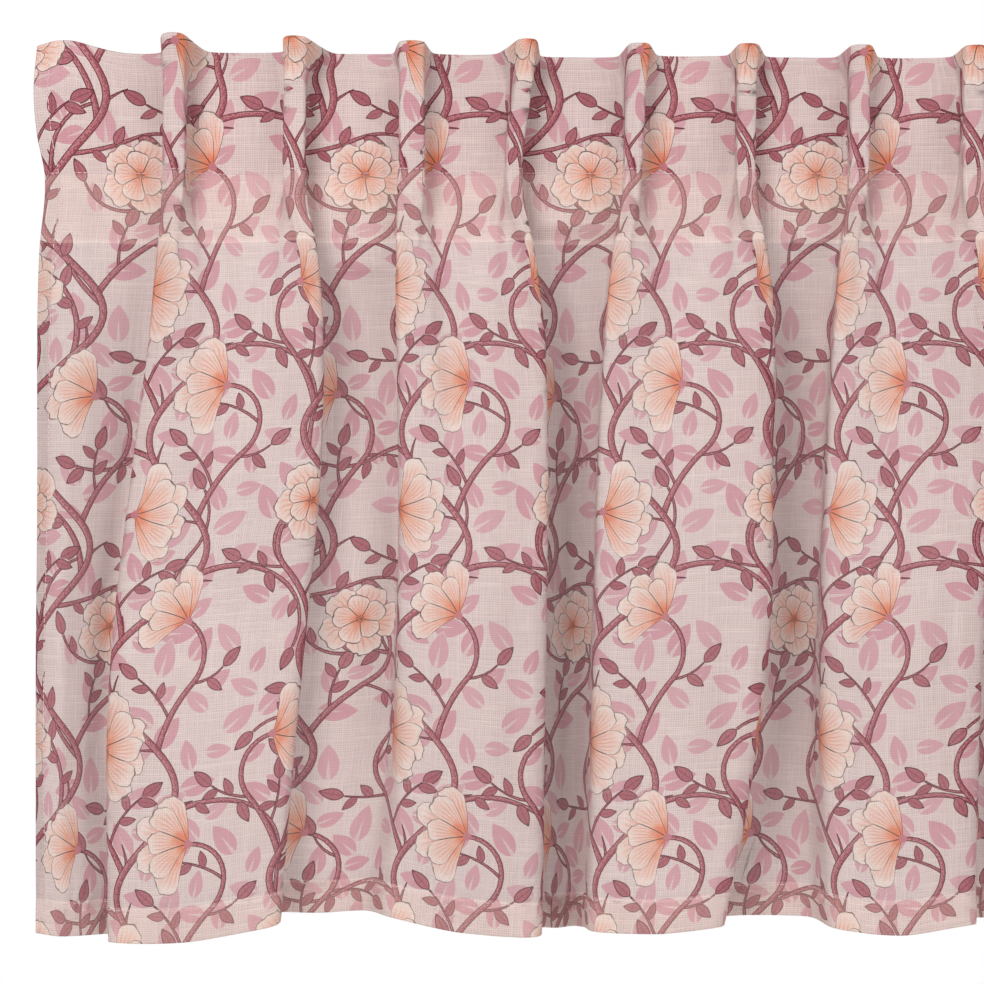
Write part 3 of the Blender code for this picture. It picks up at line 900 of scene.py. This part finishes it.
def sheet_rows():
    """Heights on the flat sheet for the rows of points."""
    top, bottom = turn_lines(0.0, END_RADIUS), turn_lines(-DROP, -END_RADIUS)
    rows = evenly(top[-1], TOP_TURN, TOP_TURN_ROW_STEP) + top[:-1]
    rows += evenly(0.0, -FINE_TO, HEADING_ROW_STEP)[1:]
    rows += evenly(-FINE_TO, -DROP, LOWER_ROW_STEP)[1:]
    rows += bottom[1:] + evenly(bottom[-1], -DROP - BOTTOM_HEM, LOWER_ROW_STEP)[1:]
    return rows


def sheet_points():
    fine, plain = sheet_columns(True), sheet_columns(False)
    return [(u, y) for y in sheet_rows() for u in (fine if y > -FINE_TO else plain)]


def triangulated(drawing):
    """Flat points, triangles, and for each triangle the topmost polygon of each layer over it (or -1)."""
    low, high = SHEET
    points = [(low[0], low[1]), (high[0], low[1]), (high[0], high[1]), (low[0], high[1])] + sheet_points()
    edges = [(0, 1), (1, 2), (2, 3), (3, 0)]
    across = [((low[0], line), (high[0], line)) for line in LINES_ACROSS]
    upward = [((line, low[1]), (line, high[1])) for line in LINES_UPWARD]
    for ends in across + upward:
        edges.append((len(points), len(points) + 1))
        points += ends
    offset = len(points)
    faces = [[offset + i for i in face] for face in drawing.faces]
    flat = [Vector(point) for point in points + drawing.points]
    made, _, triangles, _, _, owners = geometry.delaunay_2d_cdt(flat, edges, faces, 0, MERGE)
    made = np.array([tuple(point) for point in made])
    triangles = np.array(triangles)
    middles = made[triangles].mean(axis=1)
    inside = (middles > low).all(axis=1) & (middles < high).all(axis=1)
    topmost = np.full((len(triangles), len(LAYERS)), -1)
    for row, sources in zip(topmost, owners):
        for source in sources:
            layer = drawing.layers[source]
            row[layer] = max(row[layer], source)
    used, index = np.unique(triangles[inside], return_inverse=True)
    return made[used], index.reshape(-1, 3), topmost[inside]


def own_axes(corners, frames, third):
    """Along and across a shape, as shares of its size, and a third number that is the same all over it."""
    away = corners - frames[:, None, 0:2]
    ahead, size = frames[:, None, 2:4], frames[:, None, 4]
    along = (away * ahead).sum(axis=2) / size
    across = (ahead[..., 0] * away[..., 1] - ahead[..., 1] * away[..., 0]) / size
    return np.stack([along, across, np.broadcast_to(third[:, None], along.shape)], axis=2)


def leaf_values(corners, frames):
    """Along and across a leaf, as shares of its length, and its tone."""
    return own_axes(corners, frames, frames[:, 5])


def stem_values(corners, frames):
    """Across and along a stem, and its half width there, all in millimetres."""
    start, end = frames[:, None, 0:2], frames[:, None, 2:4]
    chord = end - start
    share = ((corners - start) * chord).sum(axis=2) / (chord**2).sum(axis=2)
    turn = (frames[:, 5] - frames[:, 4] + math.pi) % (2 * math.pi) - math.pi
    angle = frames[:, None, 4] + share * turn[:, None]
    left = np.stack([np.cos(angle), np.sin(angle)], axis=2)
    across = ((corners - start - share[..., None] * chord) * left).sum(axis=2)
    half = frames[:, None, 6] + share * (frames[:, 7] - frames[:, 6])[:, None]
    along = (frames[:, None, 8] + share) * STATION
    return np.stack([across / MM, along, half / MM], axis=2)


def blossom_values(corners, frames):
    """Along and across a blossom, as shares of its radius, and its radius in millimetres."""
    return own_axes(corners, frames, frames[:, 4] / MM)


def petal_values(corners, frames):
    """A blossom's petal count, the angle of a petal, and its seed."""
    return np.broadcast_to(frames[:, None, 5:8], (*corners.shape[:2], 3))


PRINT_VALUES = (
    # attribute, layer, function
    ("pale_leaf", PALE, leaf_values),
    ("stem", STEM, stem_values),
    ("leaf", LEAF, leaf_values),
    ("blossom", BLOOM, blossom_values),
    ("petals", BLOOM, petal_values),
)


def add_object(name, data):
    made = bpy.data.objects.new(name, data)
    bpy.context.scene.collection.objects.link(made)
    return made


def build_cloth():
    drawing = printed_sheet()
    flat, triangles, topmost = triangulated(drawing)
    u, y = flat.T
    mesh = bpy.data.meshes.new("valance_cloth")
    mesh.from_pydata(draped(u, y).tolist(), [], triangles.tolist())
    mesh.shade_smooth()

    along = draped(u + NORMAL_REACH, y) - draped(u - NORMAL_REACH, y)
    up = draped(u, y + NORMAL_REACH) - draped(u, y - NORMAL_REACH)
    mesh.normals_split_custom_set_from_vertices(unit(np.cross(along, up)).tolist())

    frames = np.array(drawing.frames)
    corners = flat[triangles]
    for name, layer, values_of in PRINT_VALUES:
        values = np.zeros((len(triangles), 3, 3))
        covered = topmost[:, layer] >= 0
        values[covered] = values_of(corners[covered], frames[topmost[covered, layer]])
        mesh.attributes.new(name, "FLOAT_VECTOR", "CORNER").data.foreach_set("vector", values.ravel())
    tone = 1 + sum(wandering(u, y, spots, seed) for spots, seed in TONE_SPOTS)
    places = np.column_stack([flat, tone])
    mesh.attributes.new("cloth", "FLOAT_VECTOR", "POINT").data.foreach_set("vector", places.ravel())

    unwrapped = ((flat - SHEET[0]) / (SHEET[1] - SHEET[0]))[triangles]
    mesh.uv_layers.new(name="OFBake").data.foreach_set("uv", unwrapped.ravel())
    covers, which = np.unique(topmost >= 0, axis=0, return_inverse=True)
    for cover in covers:
        mesh.materials.append(cloth_material(np.flatnonzero(cover)))
    mesh.polygons.foreach_set("material_index", which.ravel().astype(np.int32))
    return add_object("valance_cloth", mesh)


# ---- Stitches

THREAD = 0.00026  # radius of the sewing thread
THREAD_TWIST = 900.0
STITCH_LENGTH = 0.0026
STITCH_GAP = 0.0007
STITCH_SIDES = 5
STITCH_PROFILE = (
    # share of its length, height above the cloth
    (0.0, -0.0003),
    (0.18, 0.00012),
    (0.5, 0.0002),
    (0.82, 0.00012),
    (1.0, -0.0003),
)
WANDER_LENGTH = 0.02
SEAM_INSET = 0.004  # of the side seams, from the top edge
SEAMS = (
    # start (u, drop), end (u, drop), wander, seed
    ((STITCH_LENGTH, HEM_SEAM), (WIDTH - STITCH_LENGTH, HEM_SEAM), 0.0005, 21),
    ((STITCH_LENGTH, HEADING_SEAM), (WIDTH - STITCH_LENGTH, HEADING_SEAM), 0.0004, 22),
    ((SIDE_SEAM, SEAM_INSET), (SIDE_SEAM, HEM_SEAM), 0.0003, 23),
    ((WIDTH - SIDE_SEAM, SEAM_INSET), (WIDTH - SIDE_SEAM, HEM_SEAM), 0.0003, 24),
)


def stitch_row(start, end, wander, seed):
    """Start and end points (u, drop) of the stitches of one seam, which wanders a little to each side."""
    start, end = np.array(start), np.array(end)
    length = np.linalg.norm(end - start)
    ahead = (end - start) / length
    side = np.array([-ahead[1], ahead[0]])
    pitch = STITCH_LENGTH + STITCH_GAP
    stitches = []
    for k in range(int(length / pitch)):
        begin, finish = k * pitch, k * pitch + STITCH_LENGTH
        stray = wandering(np.array([begin, finish]), np.full(2, 0.5), (wander, WANDER_LENGTH, 1.0), seed)
        stitches.append([start + begin * ahead + stray[0] * side, start + finish * ahead + stray[1] * side])
    return stitches


def layers_behind(u, drop):
    """How far behind the face the last layer of the cloth lies."""
    in_side = (u < SIDE_HEM) | (u > WIDTH - SIDE_HEM)
    in_end = (drop < TOP_TURN) | (drop > DROP - BOTTOM_HEM)
    return 2 * (SIDE_RADIUS * in_side + END_RADIUS * in_end)


def build_stitches(name, behind, material):
    """All the seams' stitches on one face, as short threads that dip into the cloth at both ends."""
    pairs = np.array([stitch for seam in SEAMS for stitch in stitch_row(*seam)])
    shares, heights = np.array(STITCH_PROFILE).T
    flat = pairs[:, None, 0] + shares[None, :, None] * (pairs[:, 1] - pairs[:, 0])[:, None]
    u, drop = flat[..., 0].ravel(), flat[..., 1].ravel()
    side = -1.0 if behind else 1.0
    above = np.tile(heights, len(pairs)) * side - (layers_behind(u, drop) if behind else 0.0)
    middle = on_face(u, drop, above).reshape(len(pairs), len(shares), 3)
    out = (side * facing(u, drop)).reshape(middle.shape)
    along = unit(np.gradient(middle, axis=1))
    across = unit(np.cross(along, out))
    out = np.cross(across, along)
    angles = 2 * math.pi * np.arange(STITCH_SIDES) / STITCH_SIDES
    circle = [math.cos(angle) * across + math.sin(angle) * out for angle in angles]
    points = np.stack([middle + THREAD * spoke for spoke in circle], axis=2).reshape(-1, 3)

    ring = np.arange(STITCH_SIDES)
    following = np.roll(ring, -1)
    wall = np.stack([ring, following, following + STITCH_SIDES, ring + STITCH_SIDES], axis=1)
    last = (len(shares) - 1) * STITCH_SIDES
    one = [face + first for first in range(0, last, STITCH_SIDES) for face in wall]
    one += [ring[::-1], ring + last]
    starts = range(0, len(points), last + STITCH_SIDES)
    mesh = bpy.data.meshes.new(name)
    mesh.from_pydata(points.tolist(), [], [(face + start).tolist() for start in starts for face in one])
    mesh.shade_smooth()
    mesh.materials.append(material)
    return add_object(name, mesh)


# ---- Materials


def srgb(red, green, blue):
    """A colour for a shader from its 0 to 255 values."""
    shares = np.array((red, green, blue)) / 255
    linear = np.where(shares <= 0.04045, shares / 12.92, ((shares + 0.055) / 1.055) ** 2.4)
    return (*linear.tolist(), 1.0)


GROUND = srgb(236, 216, 213)
# painted shade: the ground's darker colour in the gaps between the yarns
GROUND_GAP_SHADE = srgb(226, 204, 201)
GROUND_SLUB = srgb(243, 228, 224)
GROUND_COOL = srgb(228, 208, 212)
PAINTED_SHOW_THROUGH = srgb(241, 219, 206)  # painted light: the warm glow of the layer behind, seen where the cloth lies double
GAP_TINT = srgb(206, 198, 198)  # dims what is seen through the cloth
PALE_FILL = srgb(219, 158, 170)
PALE_LIGHT = srgb(226, 179, 187)
STEM_FILL = srgb(162, 86, 96)
STEM_LIGHT = srgb(204, 138, 144)
STEM_LINE = srgb(116, 58, 68)
LEAF_FILL = srgb(206, 132, 140)
LEAF_DEEP = srgb(186, 106, 117)
LEAF_LINE = srgb(98, 46, 57)
PETAL_TIP = srgb(249, 229, 221)
PETAL = srgb(247, 213, 201)
PETAL_BLUSH = srgb(247, 190, 166)
PETAL_BASE = srgb(240, 140, 106)
PETAL_VEIN = srgb(230, 148, 132)
PETAL_LINE = srgb(88, 64, 58)
THREAD_COLOUR = srgb(250, 228, 227)
THREAD_SHADE = srgb(214, 176, 180)
FLOOR_COLOUR = srgb(236, 234, 231)

YARN_PITCH = 1.25  # millimetres between yarns
YARN_WANDER = 1.6  # how far its grain pushes a yarn aside, in millimetres
SLUB = (0.5, 0.035)  # grains to a millimetre, across the yarn and along it
LEAST_YARN = 0.55  # height of the thinnest yarn
EDGE = (-0.05, 0.12)  # millimetres over which a printed shape's edge fades in
LINE = 0.62  # width of the print's outlines, in millimetres
PALE_COVER = 0.92  # how much of the ground a pale leaf covers
PALE_RIB = 0.8  # and how much of the pale leaf its midrib leaves out
VEIN_TURN = 2.8  # a dark leaf's veins are waves of so many radians to a millimetre
LEAF_MARKS = 0.36  # strength of its veins and speckles
PETAL_VEINS = 6.0
# How far out two petals part, and how far one reaches past that, as shares of the blossom's radius.
PETAL_NOTCH, PETAL_LOBE = 0.60, 0.35
INNER_RING = (0.84, 0.62)  # size of the inner ring of petals, in a fan and in a rosette
EYE = (2.6, 2.0)  # millimetres over which the eye of a blossom ends
PAINTED_SHOW_THROUGH_SHARE = 0.20  # how far that painted glow colours cloth that lies double
SINGLE_PAINTED_SHADE = 0.935  # painted shade: single cloth is darkened to this brightness
DOUBLED_PAINTED_LIGHT = (0.17, 0.16, 0.12)  # painted light that the hem, the turned band below the heading and the heading add to that
COVER = 0.20  # share of the light that the cloth lets through from behind
CLEAR = (0.05, 0.15)  # how see-through the cloth is on a yarn and in a gap between yarns
ROUGHNESS = 0.86
SPECULAR = 0.2
BUMP_DISTANCE = 0.00009
SEAM_BLUR = 0.0005  # metres to each side of a seam over which the cloth's tone changes


class Shader:
    """Builds a node tree. Values may be numbers, colours or the outputs of other nodes."""

    def __init__(self, tree):
        self.tree = tree

    def feed(self, socket, value):
        if isinstance(value, bpy.types.NodeSocket):
            self.tree.links.new(value, socket)
        else:
            socket.default_value = value

    def node(self, kind, inputs, output=0, **settings):
        """An output of a new node with these settings and these inputs, all by name or number."""
        node = self.tree.nodes.new(kind)
        for name, value in settings.items():
            setattr(node, name, value)
        for name, value in inputs.items():
            self.feed(node.inputs[name], value)
        return node.outputs[output]

    def math(self, operation, *values):
        return self.node("ShaderNodeMath", dict(enumerate(values)), operation=operation)

    add = partialmethod(math, "ADD")
    less = partialmethod(math, "SUBTRACT")
    times = partialmethod(math, "MULTIPLY")
    over = partialmethod(math, "DIVIDE")
    scaled = partialmethod(math, "MULTIPLY_ADD")
    most = partialmethod(math, "MAXIMUM")
    size = partialmethod(math, "ABSOLUTE")
    above = partialmethod(math, "GREATER_THAN")

    def length(self, a, b):
        return self.math("SQRT", self.add(self.times(a, a), self.times(b, b)))

    def step(self, value, low, high):
        """0 up to low and 1 from high on, smooth between. It runs the other way where high is less."""
        inputs = {"Value": value, "From Min": low, "From Max": high}
        return self.node("ShaderNodeMapRange", inputs, interpolation_type="SMOOTHSTEP")

    def blend(self, factor, a, b, kind="MIX"):
        """A colour between two, or with the kind MULTIPLY their product."""
        return self.node("ShaderNodeMix", {0: factor, 6: a, 7: b}, 2, data_type="RGBA", blend_type=kind)

    def mix(self, factor, a, b):
        """A number between two."""
        return self.scaled(factor, b - a, a)

    def split(self, attribute):
        """The three numbers of a mesh attribute."""
        vector = self.node("ShaderNodeAttribute", {}, "Vector", attribute_name=attribute)
        return self.node("ShaderNodeSeparateXYZ", {0: vector}, slice(3))

    def joined(self, *numbers):
        return self.node("ShaderNodeCombineXYZ", dict(enumerate(numbers)))

    def noise(self, x, y, across, along, seed=0.0, detail=0.0):
        """Noise from 0 to 1, with so many grains to a unit of x and of y."""
        place = self.joined(self.scaled(x, across, seed), self.scaled(y, along, seed))
        inputs = {"Vector": place, "Scale": 1.0, "Detail": detail}
        return self.node("ShaderNodeTexNoise", inputs, noise_dimensions="2D")

    def random(self, x, y):
        """A number from 0 to 1 that stays the same for the same x and y."""
        inputs = {"Vector": self.joined(x, y)}
        return self.node("ShaderNodeTexWhiteNoise", inputs, "Value", noise_dimensions="2D")


def weave(s, x, y):
    """The yarns' height, the gap between them and each direction's grain, at a place in millimetres."""
    yarns = []
    for across, along, seed in ((x, y, 0.0), (y, x, 40.0)):
        grain = s.noise(across, along, *SLUB, seed, detail=1.0)
        turns = 2 * math.pi / YARN_PITCH
        phase = s.scaled(grain, YARN_WANDER * turns, s.times(across, turns))
        yarns.append((s.scaled(s.math("SINE", phase), 0.5, 0.5), grain))
    heights = [s.times(yarn, s.add(LEAST_YARN, grain)) for yarn, grain in yarns]
    (warp, warp_grain), (weft, weft_grain) = yarns
    return s.most(*heights), s.times(s.less(1.0, warp), s.less(1.0, weft)), warp_grain, weft_grain


def leaf_shape(s, attribute, size):
    """A pointed leaf's mask, the millimetres in from its edge and off its midrib, share along, tone."""
    length, _, half = size
    along, across, tone = s.split(attribute)
    widest = s.times(along, s.scaled(along, -0.33, 1.33))
    radius = (0.25 + half**2) / (2 * half)
    off = s.size(across)
    away = s.length(s.less(widest, 0.5), s.add(off, radius - half))
    inside = s.times(s.less(radius, away), length)
    mask = s.times(s.step(inside, *EDGE), s.above(tone, NO_TONE))
    return mask, inside, s.times(off, length), along, tone


def outlined(s, inside, fill, line):
    """The fill with a line along its edge."""
    return s.blend(s.step(inside, LINE * 0.6, LINE * 1.2), line, fill)


def paint_pale_leaves(s, under):
    mask, inside, off, along, tone = leaf_shape(s, "pale_leaf", PALE_LEAF)
    rib = s.step(s.less(s.scaled(along, -2.1, 1.5), off), 0.0, 0.35)
    fill = s.blend(tone, PALE_LIGHT, PALE_FILL)
    return s.blend(s.times(mask, PALE_COVER), under, s.blend(s.times(rib, PALE_RIB), fill, under))


def paint_stems(s, under):
    across, along, half = s.split("stem")
    inside = s.less(half, s.size(across))
    grain = s.noise(across, along, 1.7, 0.7)
    side = s.scaled(grain, 3.4, s.over(across, s.most(half, 0.2)))
    fill = s.blend(s.step(side, 1.2, 2.3), STEM_FILL, STEM_LIGHT)
    return s.blend(s.above(half, 0.2), under, outlined(s, inside, fill, STEM_LINE))


def paint_leaves(s, under):
    mask, inside, off, along, tone = leaf_shape(s, "leaf", DARK_LEAF)
    veins = s.math("SINE", s.times(s.less(s.times(along, DARK_LEAF[0]), off), VEIN_TURN))
    speckles = s.step(s.noise(along, off, 17.0, 1.9), 0.50, 0.60)
    fill = s.blend(s.times(tone, 0.8), LEAF_FILL, LEAF_DEEP)
    fill = s.blend(s.times(s.most(speckles, s.step(veins, 0.5, 0.95)), LEAF_MARKS), fill, LEAF_LINE)
    fill = s.blend(s.times(s.step(off, 0.32, 0.10), 0.5), fill, LEAF_LINE)
    return s.blend(mask, under, outlined(s, inside, fill, LEAF_LINE))


def paint_petals(s, under, place, flower, ring):
    """One ring of petals: coral at the base and cream at the tips, with fine veins and an outline."""
    out, bearing, grain = place
    radius, petals, angle, seed = flower
    shift, scale, limit = ring
    place = s.over(s.add(bearing, s.scaled(out, -0.22, 0.22)), angle)
    petal = s.math("ROUND", s.add(place, shift))
    across = s.less(s.add(place, shift), petal)
    chance = s.random(s.math("FLOORED_MODULO", petal, petals), s.add(seed, shift))
    edge_share = s.times(s.size(across), 2.0)
    lobe = s.math("POWER", s.less(1.0, s.math("POWER", edge_share, 2.3)), 0.5)
    reach = s.scaled(lobe, s.scaled(chance, 0.16, PETAL_LOBE - 0.08), PETAL_NOTCH)
    reach = s.times(s.scaled(grain, 0.16, reach), scale)
    inside = s.times(s.less(reach, out), radius)
    spread = s.less(limit, s.size(place))
    mask = s.times(s.step(inside, *EDGE), s.above(spread, 0.0))
    reaches = s.times(angle, s.times(out, radius))  # millimetres that one petal's turn spans here
    border = s.times(s.math("MINIMUM", s.scaled(edge_share, -0.5, 0.5), spread), reaches)
    share = s.over(out, reach)
    at = s.scaled(grain, 0.5, share)
    colour = s.blend(s.step(at, 0.10, 0.46), PETAL_BASE, PETAL_BLUSH)
    colour = s.blend(s.step(at, 0.32, 0.70), colour, PETAL)
    colour = s.blend(s.step(at, 0.72, 1.0), colour, PETAL_TIP)
    lanes = s.scaled(across, PETAL_VEINS, s.times(grain, 0.8))
    vein = s.step(s.size(s.less(lanes, s.math("ROUND", lanes))), 0.20, 0.07)
    vein = s.times(vein, s.times(s.step(share, 0.10, 0.25), s.step(share, 0.98, 0.60)))
    colour = s.blend(s.times(vein, 0.7), colour, PETAL_VEIN)
    line = s.most(s.step(inside, LINE * 1.3, LINE * 0.7), s.step(border, 0.40, 0.18))
    return s.blend(mask, under, s.blend(s.times(line, 0.9), colour, PETAL_LINE))


def paint_blossoms(s, under):
    x, y, radius = s.split("blossom")
    petals, angle, seed = s.split("petals")
    opened = s.above(petals, 4.0)
    half_spread = s.scaled(petals, 0.5, s.times(opened, 5.0))
    angle = s.most(angle, 0.1)
    out, bearing = s.length(x, y), s.math("ARCTAN2", y, x)
    grain = s.less(s.noise(x, y, 4.5, 4.5, seed, detail=1.0), 0.5)
    flower = s.most(radius, 1.0), s.most(petals, 1.0), angle, seed
    place = out, bearing, grain
    colour = paint_petals(s, under, place, flower, (0.5, 1.0, s.add(half_spread, 0.5)))
    colour = paint_petals(s, colour, place, flower, (0.0, s.mix(opened, *INNER_RING), half_spread))
    eye = s.step(s.times(out, radius), *EYE)
    dots = s.step(s.noise(x, y, 40.0, 40.0), 0.42, 0.58)
    colour = s.blend(eye, colour, s.blend(opened, LEAF_FILL, s.blend(dots, PETAL_BASE, PETAL_LINE)))
    return s.blend(s.above(radius, 0.5), under, colour)


PAINTERS = (paint_pale_leaves, paint_stems, paint_leaves, paint_blossoms)  # in the order of the layers


def cloth_material(layers):
    """The cloth where these layers of the print lie on it."""
    material = bpy.data.materials.new("printed_voile_" + "".join(str(layer) for layer in layers))
    material.use_nodes = True
    material.use_transparent_shadow = False
    material.node_tree.nodes.clear()
    s = Shader(material.node_tree)
    u, v, tone = s.split("cloth")
    height, gap, warp_grain, weft_grain = weave(s, s.times(u, 1 / MM), s.times(v, 1 / MM))

    slubs = s.most(warp_grain, weft_grain)
    # painted shade: the ground darker in the gaps between the yarns, by the yarns' height
    colour = s.blend(s.step(height, 0.30, 0.90), GROUND_GAP_SHADE, GROUND)
    colour = s.blend(s.times(s.step(s.less(warp_grain, weft_grain), 0.04, 0.24), 0.35), colour, GROUND_COOL)
    colour = s.blend(s.times(s.step(slubs, 0.60, 0.76), 0.4), colour, GROUND_SLUB)
    for layer in layers:
        colour = PAINTERS[layer](s, colour)
    heading, band = (s.step(v, line - SEAM_BLUR, line + SEAM_BLUR) for line in (-HEADING, -TOP_TURN))
    hem = s.step(v, BOTTOM_HEM - DROP + SEAM_BLUR, BOTTOM_HEM - DROP - SEAM_BLUR)
    band = s.less(band, heading)
    # painted light: the band and the hem take on the warm glow of the layer behind them
    colour = s.blend(s.times(s.add(band, hem), PAINTED_SHOW_THROUGH_SHARE), colour, PAINTED_SHOW_THROUGH)
    # a multiplier: lighter on the slubs, with painted shade in the gaps between the yarns
    shade = s.scaled(slubs, 0.05, s.scaled(s.step(height, 0.25, 0.85), 0.05, 0.93))
    # painted light: single cloth darker, and the hem, the band and the heading lighter
    painted_layer_light = SINGLE_PAINTED_SHADE
    for zone, lighter in zip((hem, band, heading), DOUBLED_PAINTED_LIGHT):
        painted_layer_light = s.scaled(zone, lighter, painted_layer_light)
    shade = s.times(s.times(painted_layer_light, shade), tone)
    colour = s.blend(1.0, colour, s.joined(shade, shade, shade), "MULTIPLY")

    ridges = [s.math("SINE", s.times(across, 2 * math.pi / (YARN_PITCH * MM))) for across in (u, v)]
    inputs = {
        "Base Color": colour,
        "Roughness": ROUGHNESS,
        "Specular IOR Level": SPECULAR,
        "Normal": s.node("ShaderNodeBump", {"Distance": BUMP_DISTANCE, "Height": s.most(*ridges)}),
    }
    face = s.node("ShaderNodeBsdfPrincipled", inputs)
    through = s.node("ShaderNodeBsdfTranslucent", {"Color": colour})
    lit = s.node("ShaderNodeMixShader", {0: COVER, 1: face, 2: through})
    clear = s.node("ShaderNodeBsdfTransparent", {"Color": GAP_TINT})
    sheer = s.node("ShaderNodeMixShader", {0: s.mix(s.step(gap, 0.30, 0.85), *CLEAR), 1: lit, 2: clear})
    output = material.node_tree.nodes.new("ShaderNodeOutputMaterial")
    s.feed(output.inputs["Surface"], sheer)
    return material


def plain_material(name, roughness):
    """A new material with one principled shader, its node tree's builder, and that shader."""
    material = bpy.data.materials.new(name)
    material.use_nodes = True
    face = material.node_tree.nodes["Principled BSDF"]
    face.inputs["Roughness"].default_value = roughness
    return material, Shader(material.node_tree), face


def thread_material():
    material, s, face = plain_material("sewing_thread", 0.7)
    place = s.node("ShaderNodeTexCoord", {}, "Object")
    twist = s.node("ShaderNodeTexNoise", {"Scale": THREAD_TWIST, "Vector": place})
    s.feed(face.inputs["Base Color"], s.blend(twist, THREAD_COLOUR, THREAD_SHADE))
    return material


# ---- Camera, light and floor

PIXEL = 0.561 * MM  # what one pixel of a 984 pixel frame spans on the cloth
FRAME_PIXELS = 984
NEAREST_PLANE = 0.015  # the folds stand about this far in front of the flats
CAMERA_DISTANCE = 1.3
TARGET = (-0.1105, -0.24688)
SENSOR = 36.0
FLOOR_DROP = 0.95
FLOOR_RADIUS = 1.75

LIGHTS = (
    # name, place, size, power, colour
    ("key", (-0.95, -1.90, 0.85), 0.9, 30.0, (1.0, 0.985, 0.965)),
    ("fill", (1.30, -1.90, 0.05), 1.6, 13.0, (1.0, 0.99, 0.985)),
    ("back", (0.10, 1.70, 0.35), 1.8, 8.5, (1.0, 0.99, 0.98)),
)
WORLD_LIGHT = 0.38
DIFFUSE_BOUNCES = 2


def add_camera():
    camera = bpy.data.cameras.new("camera")
    camera.sensor_width = SENSOR
    camera.lens = SENSOR * (CAMERA_DISTANCE - NEAREST_PLANE) / (FRAME_PIXELS * PIXEL)
    view = add_object("camera", camera)
    view.location = (TARGET[0], -CAMERA_DISTANCE, TARGET[1])
    view.rotation_euler = (math.radians(90), 0.0, 0.0)
    bpy.context.scene.camera = view


def add_lights():
    aim = Vector((TARGET[0], 0.0, TARGET[1]))
    for name, place, size, power, colour in LIGHTS:
        light = bpy.data.lights.new(name, "AREA")
        light.energy = power
        light.size = size
        light.color = colour
        lamp = add_object(name, light)
        lamp.location = place
        lamp.rotation_euler = (aim - Vector(place)).to_track_quat("-Z", "Y").to_euler()
    world = bpy.data.worlds.new("studio")
    bpy.context.scene.world = world
    world.use_nodes = True
    s = Shader(world.node_tree)
    sky = world.node_tree.nodes["Background"]
    sky.inputs["Color"].default_value = (1.0, 1.0, 1.0, 1.0)
    seen = s.node("ShaderNodeLightPath", {}, "Is Camera Ray")
    s.feed(sky.inputs["Strength"], s.mix(seen, WORLD_LIGHT, 1.0))
    bpy.context.scene.cycles.diffuse_bounces = DIFFUSE_BOUNCES


def add_floor():
    bpy.ops.mesh.primitive_circle_add(
        vertices=96, radius=FLOOR_RADIUS, fill_type="NGON", location=(0.0, 0.0, -FLOOR_DROP)
    )
    floor = bpy.context.object
    floor.name = "floor"
    material, _, face = plain_material("floor", 0.9)
    face.inputs["Base Color"].default_value = FLOOR_COLOUR
    floor.data.materials.append(material)


def main():
    thread = thread_material()
    cloth = build_cloth()
    front = build_stitches("valance_stitches_front", False, thread)
    back = build_stitches("valance_stitches_back", True, thread)
    for piece in (cloth, front, back):
        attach(piece, "root")
    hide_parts("valance")
    add_camera()
    add_lights()
    add_floor()
    bpy.context.scene.view_settings.view_transform = "Standard"


main()
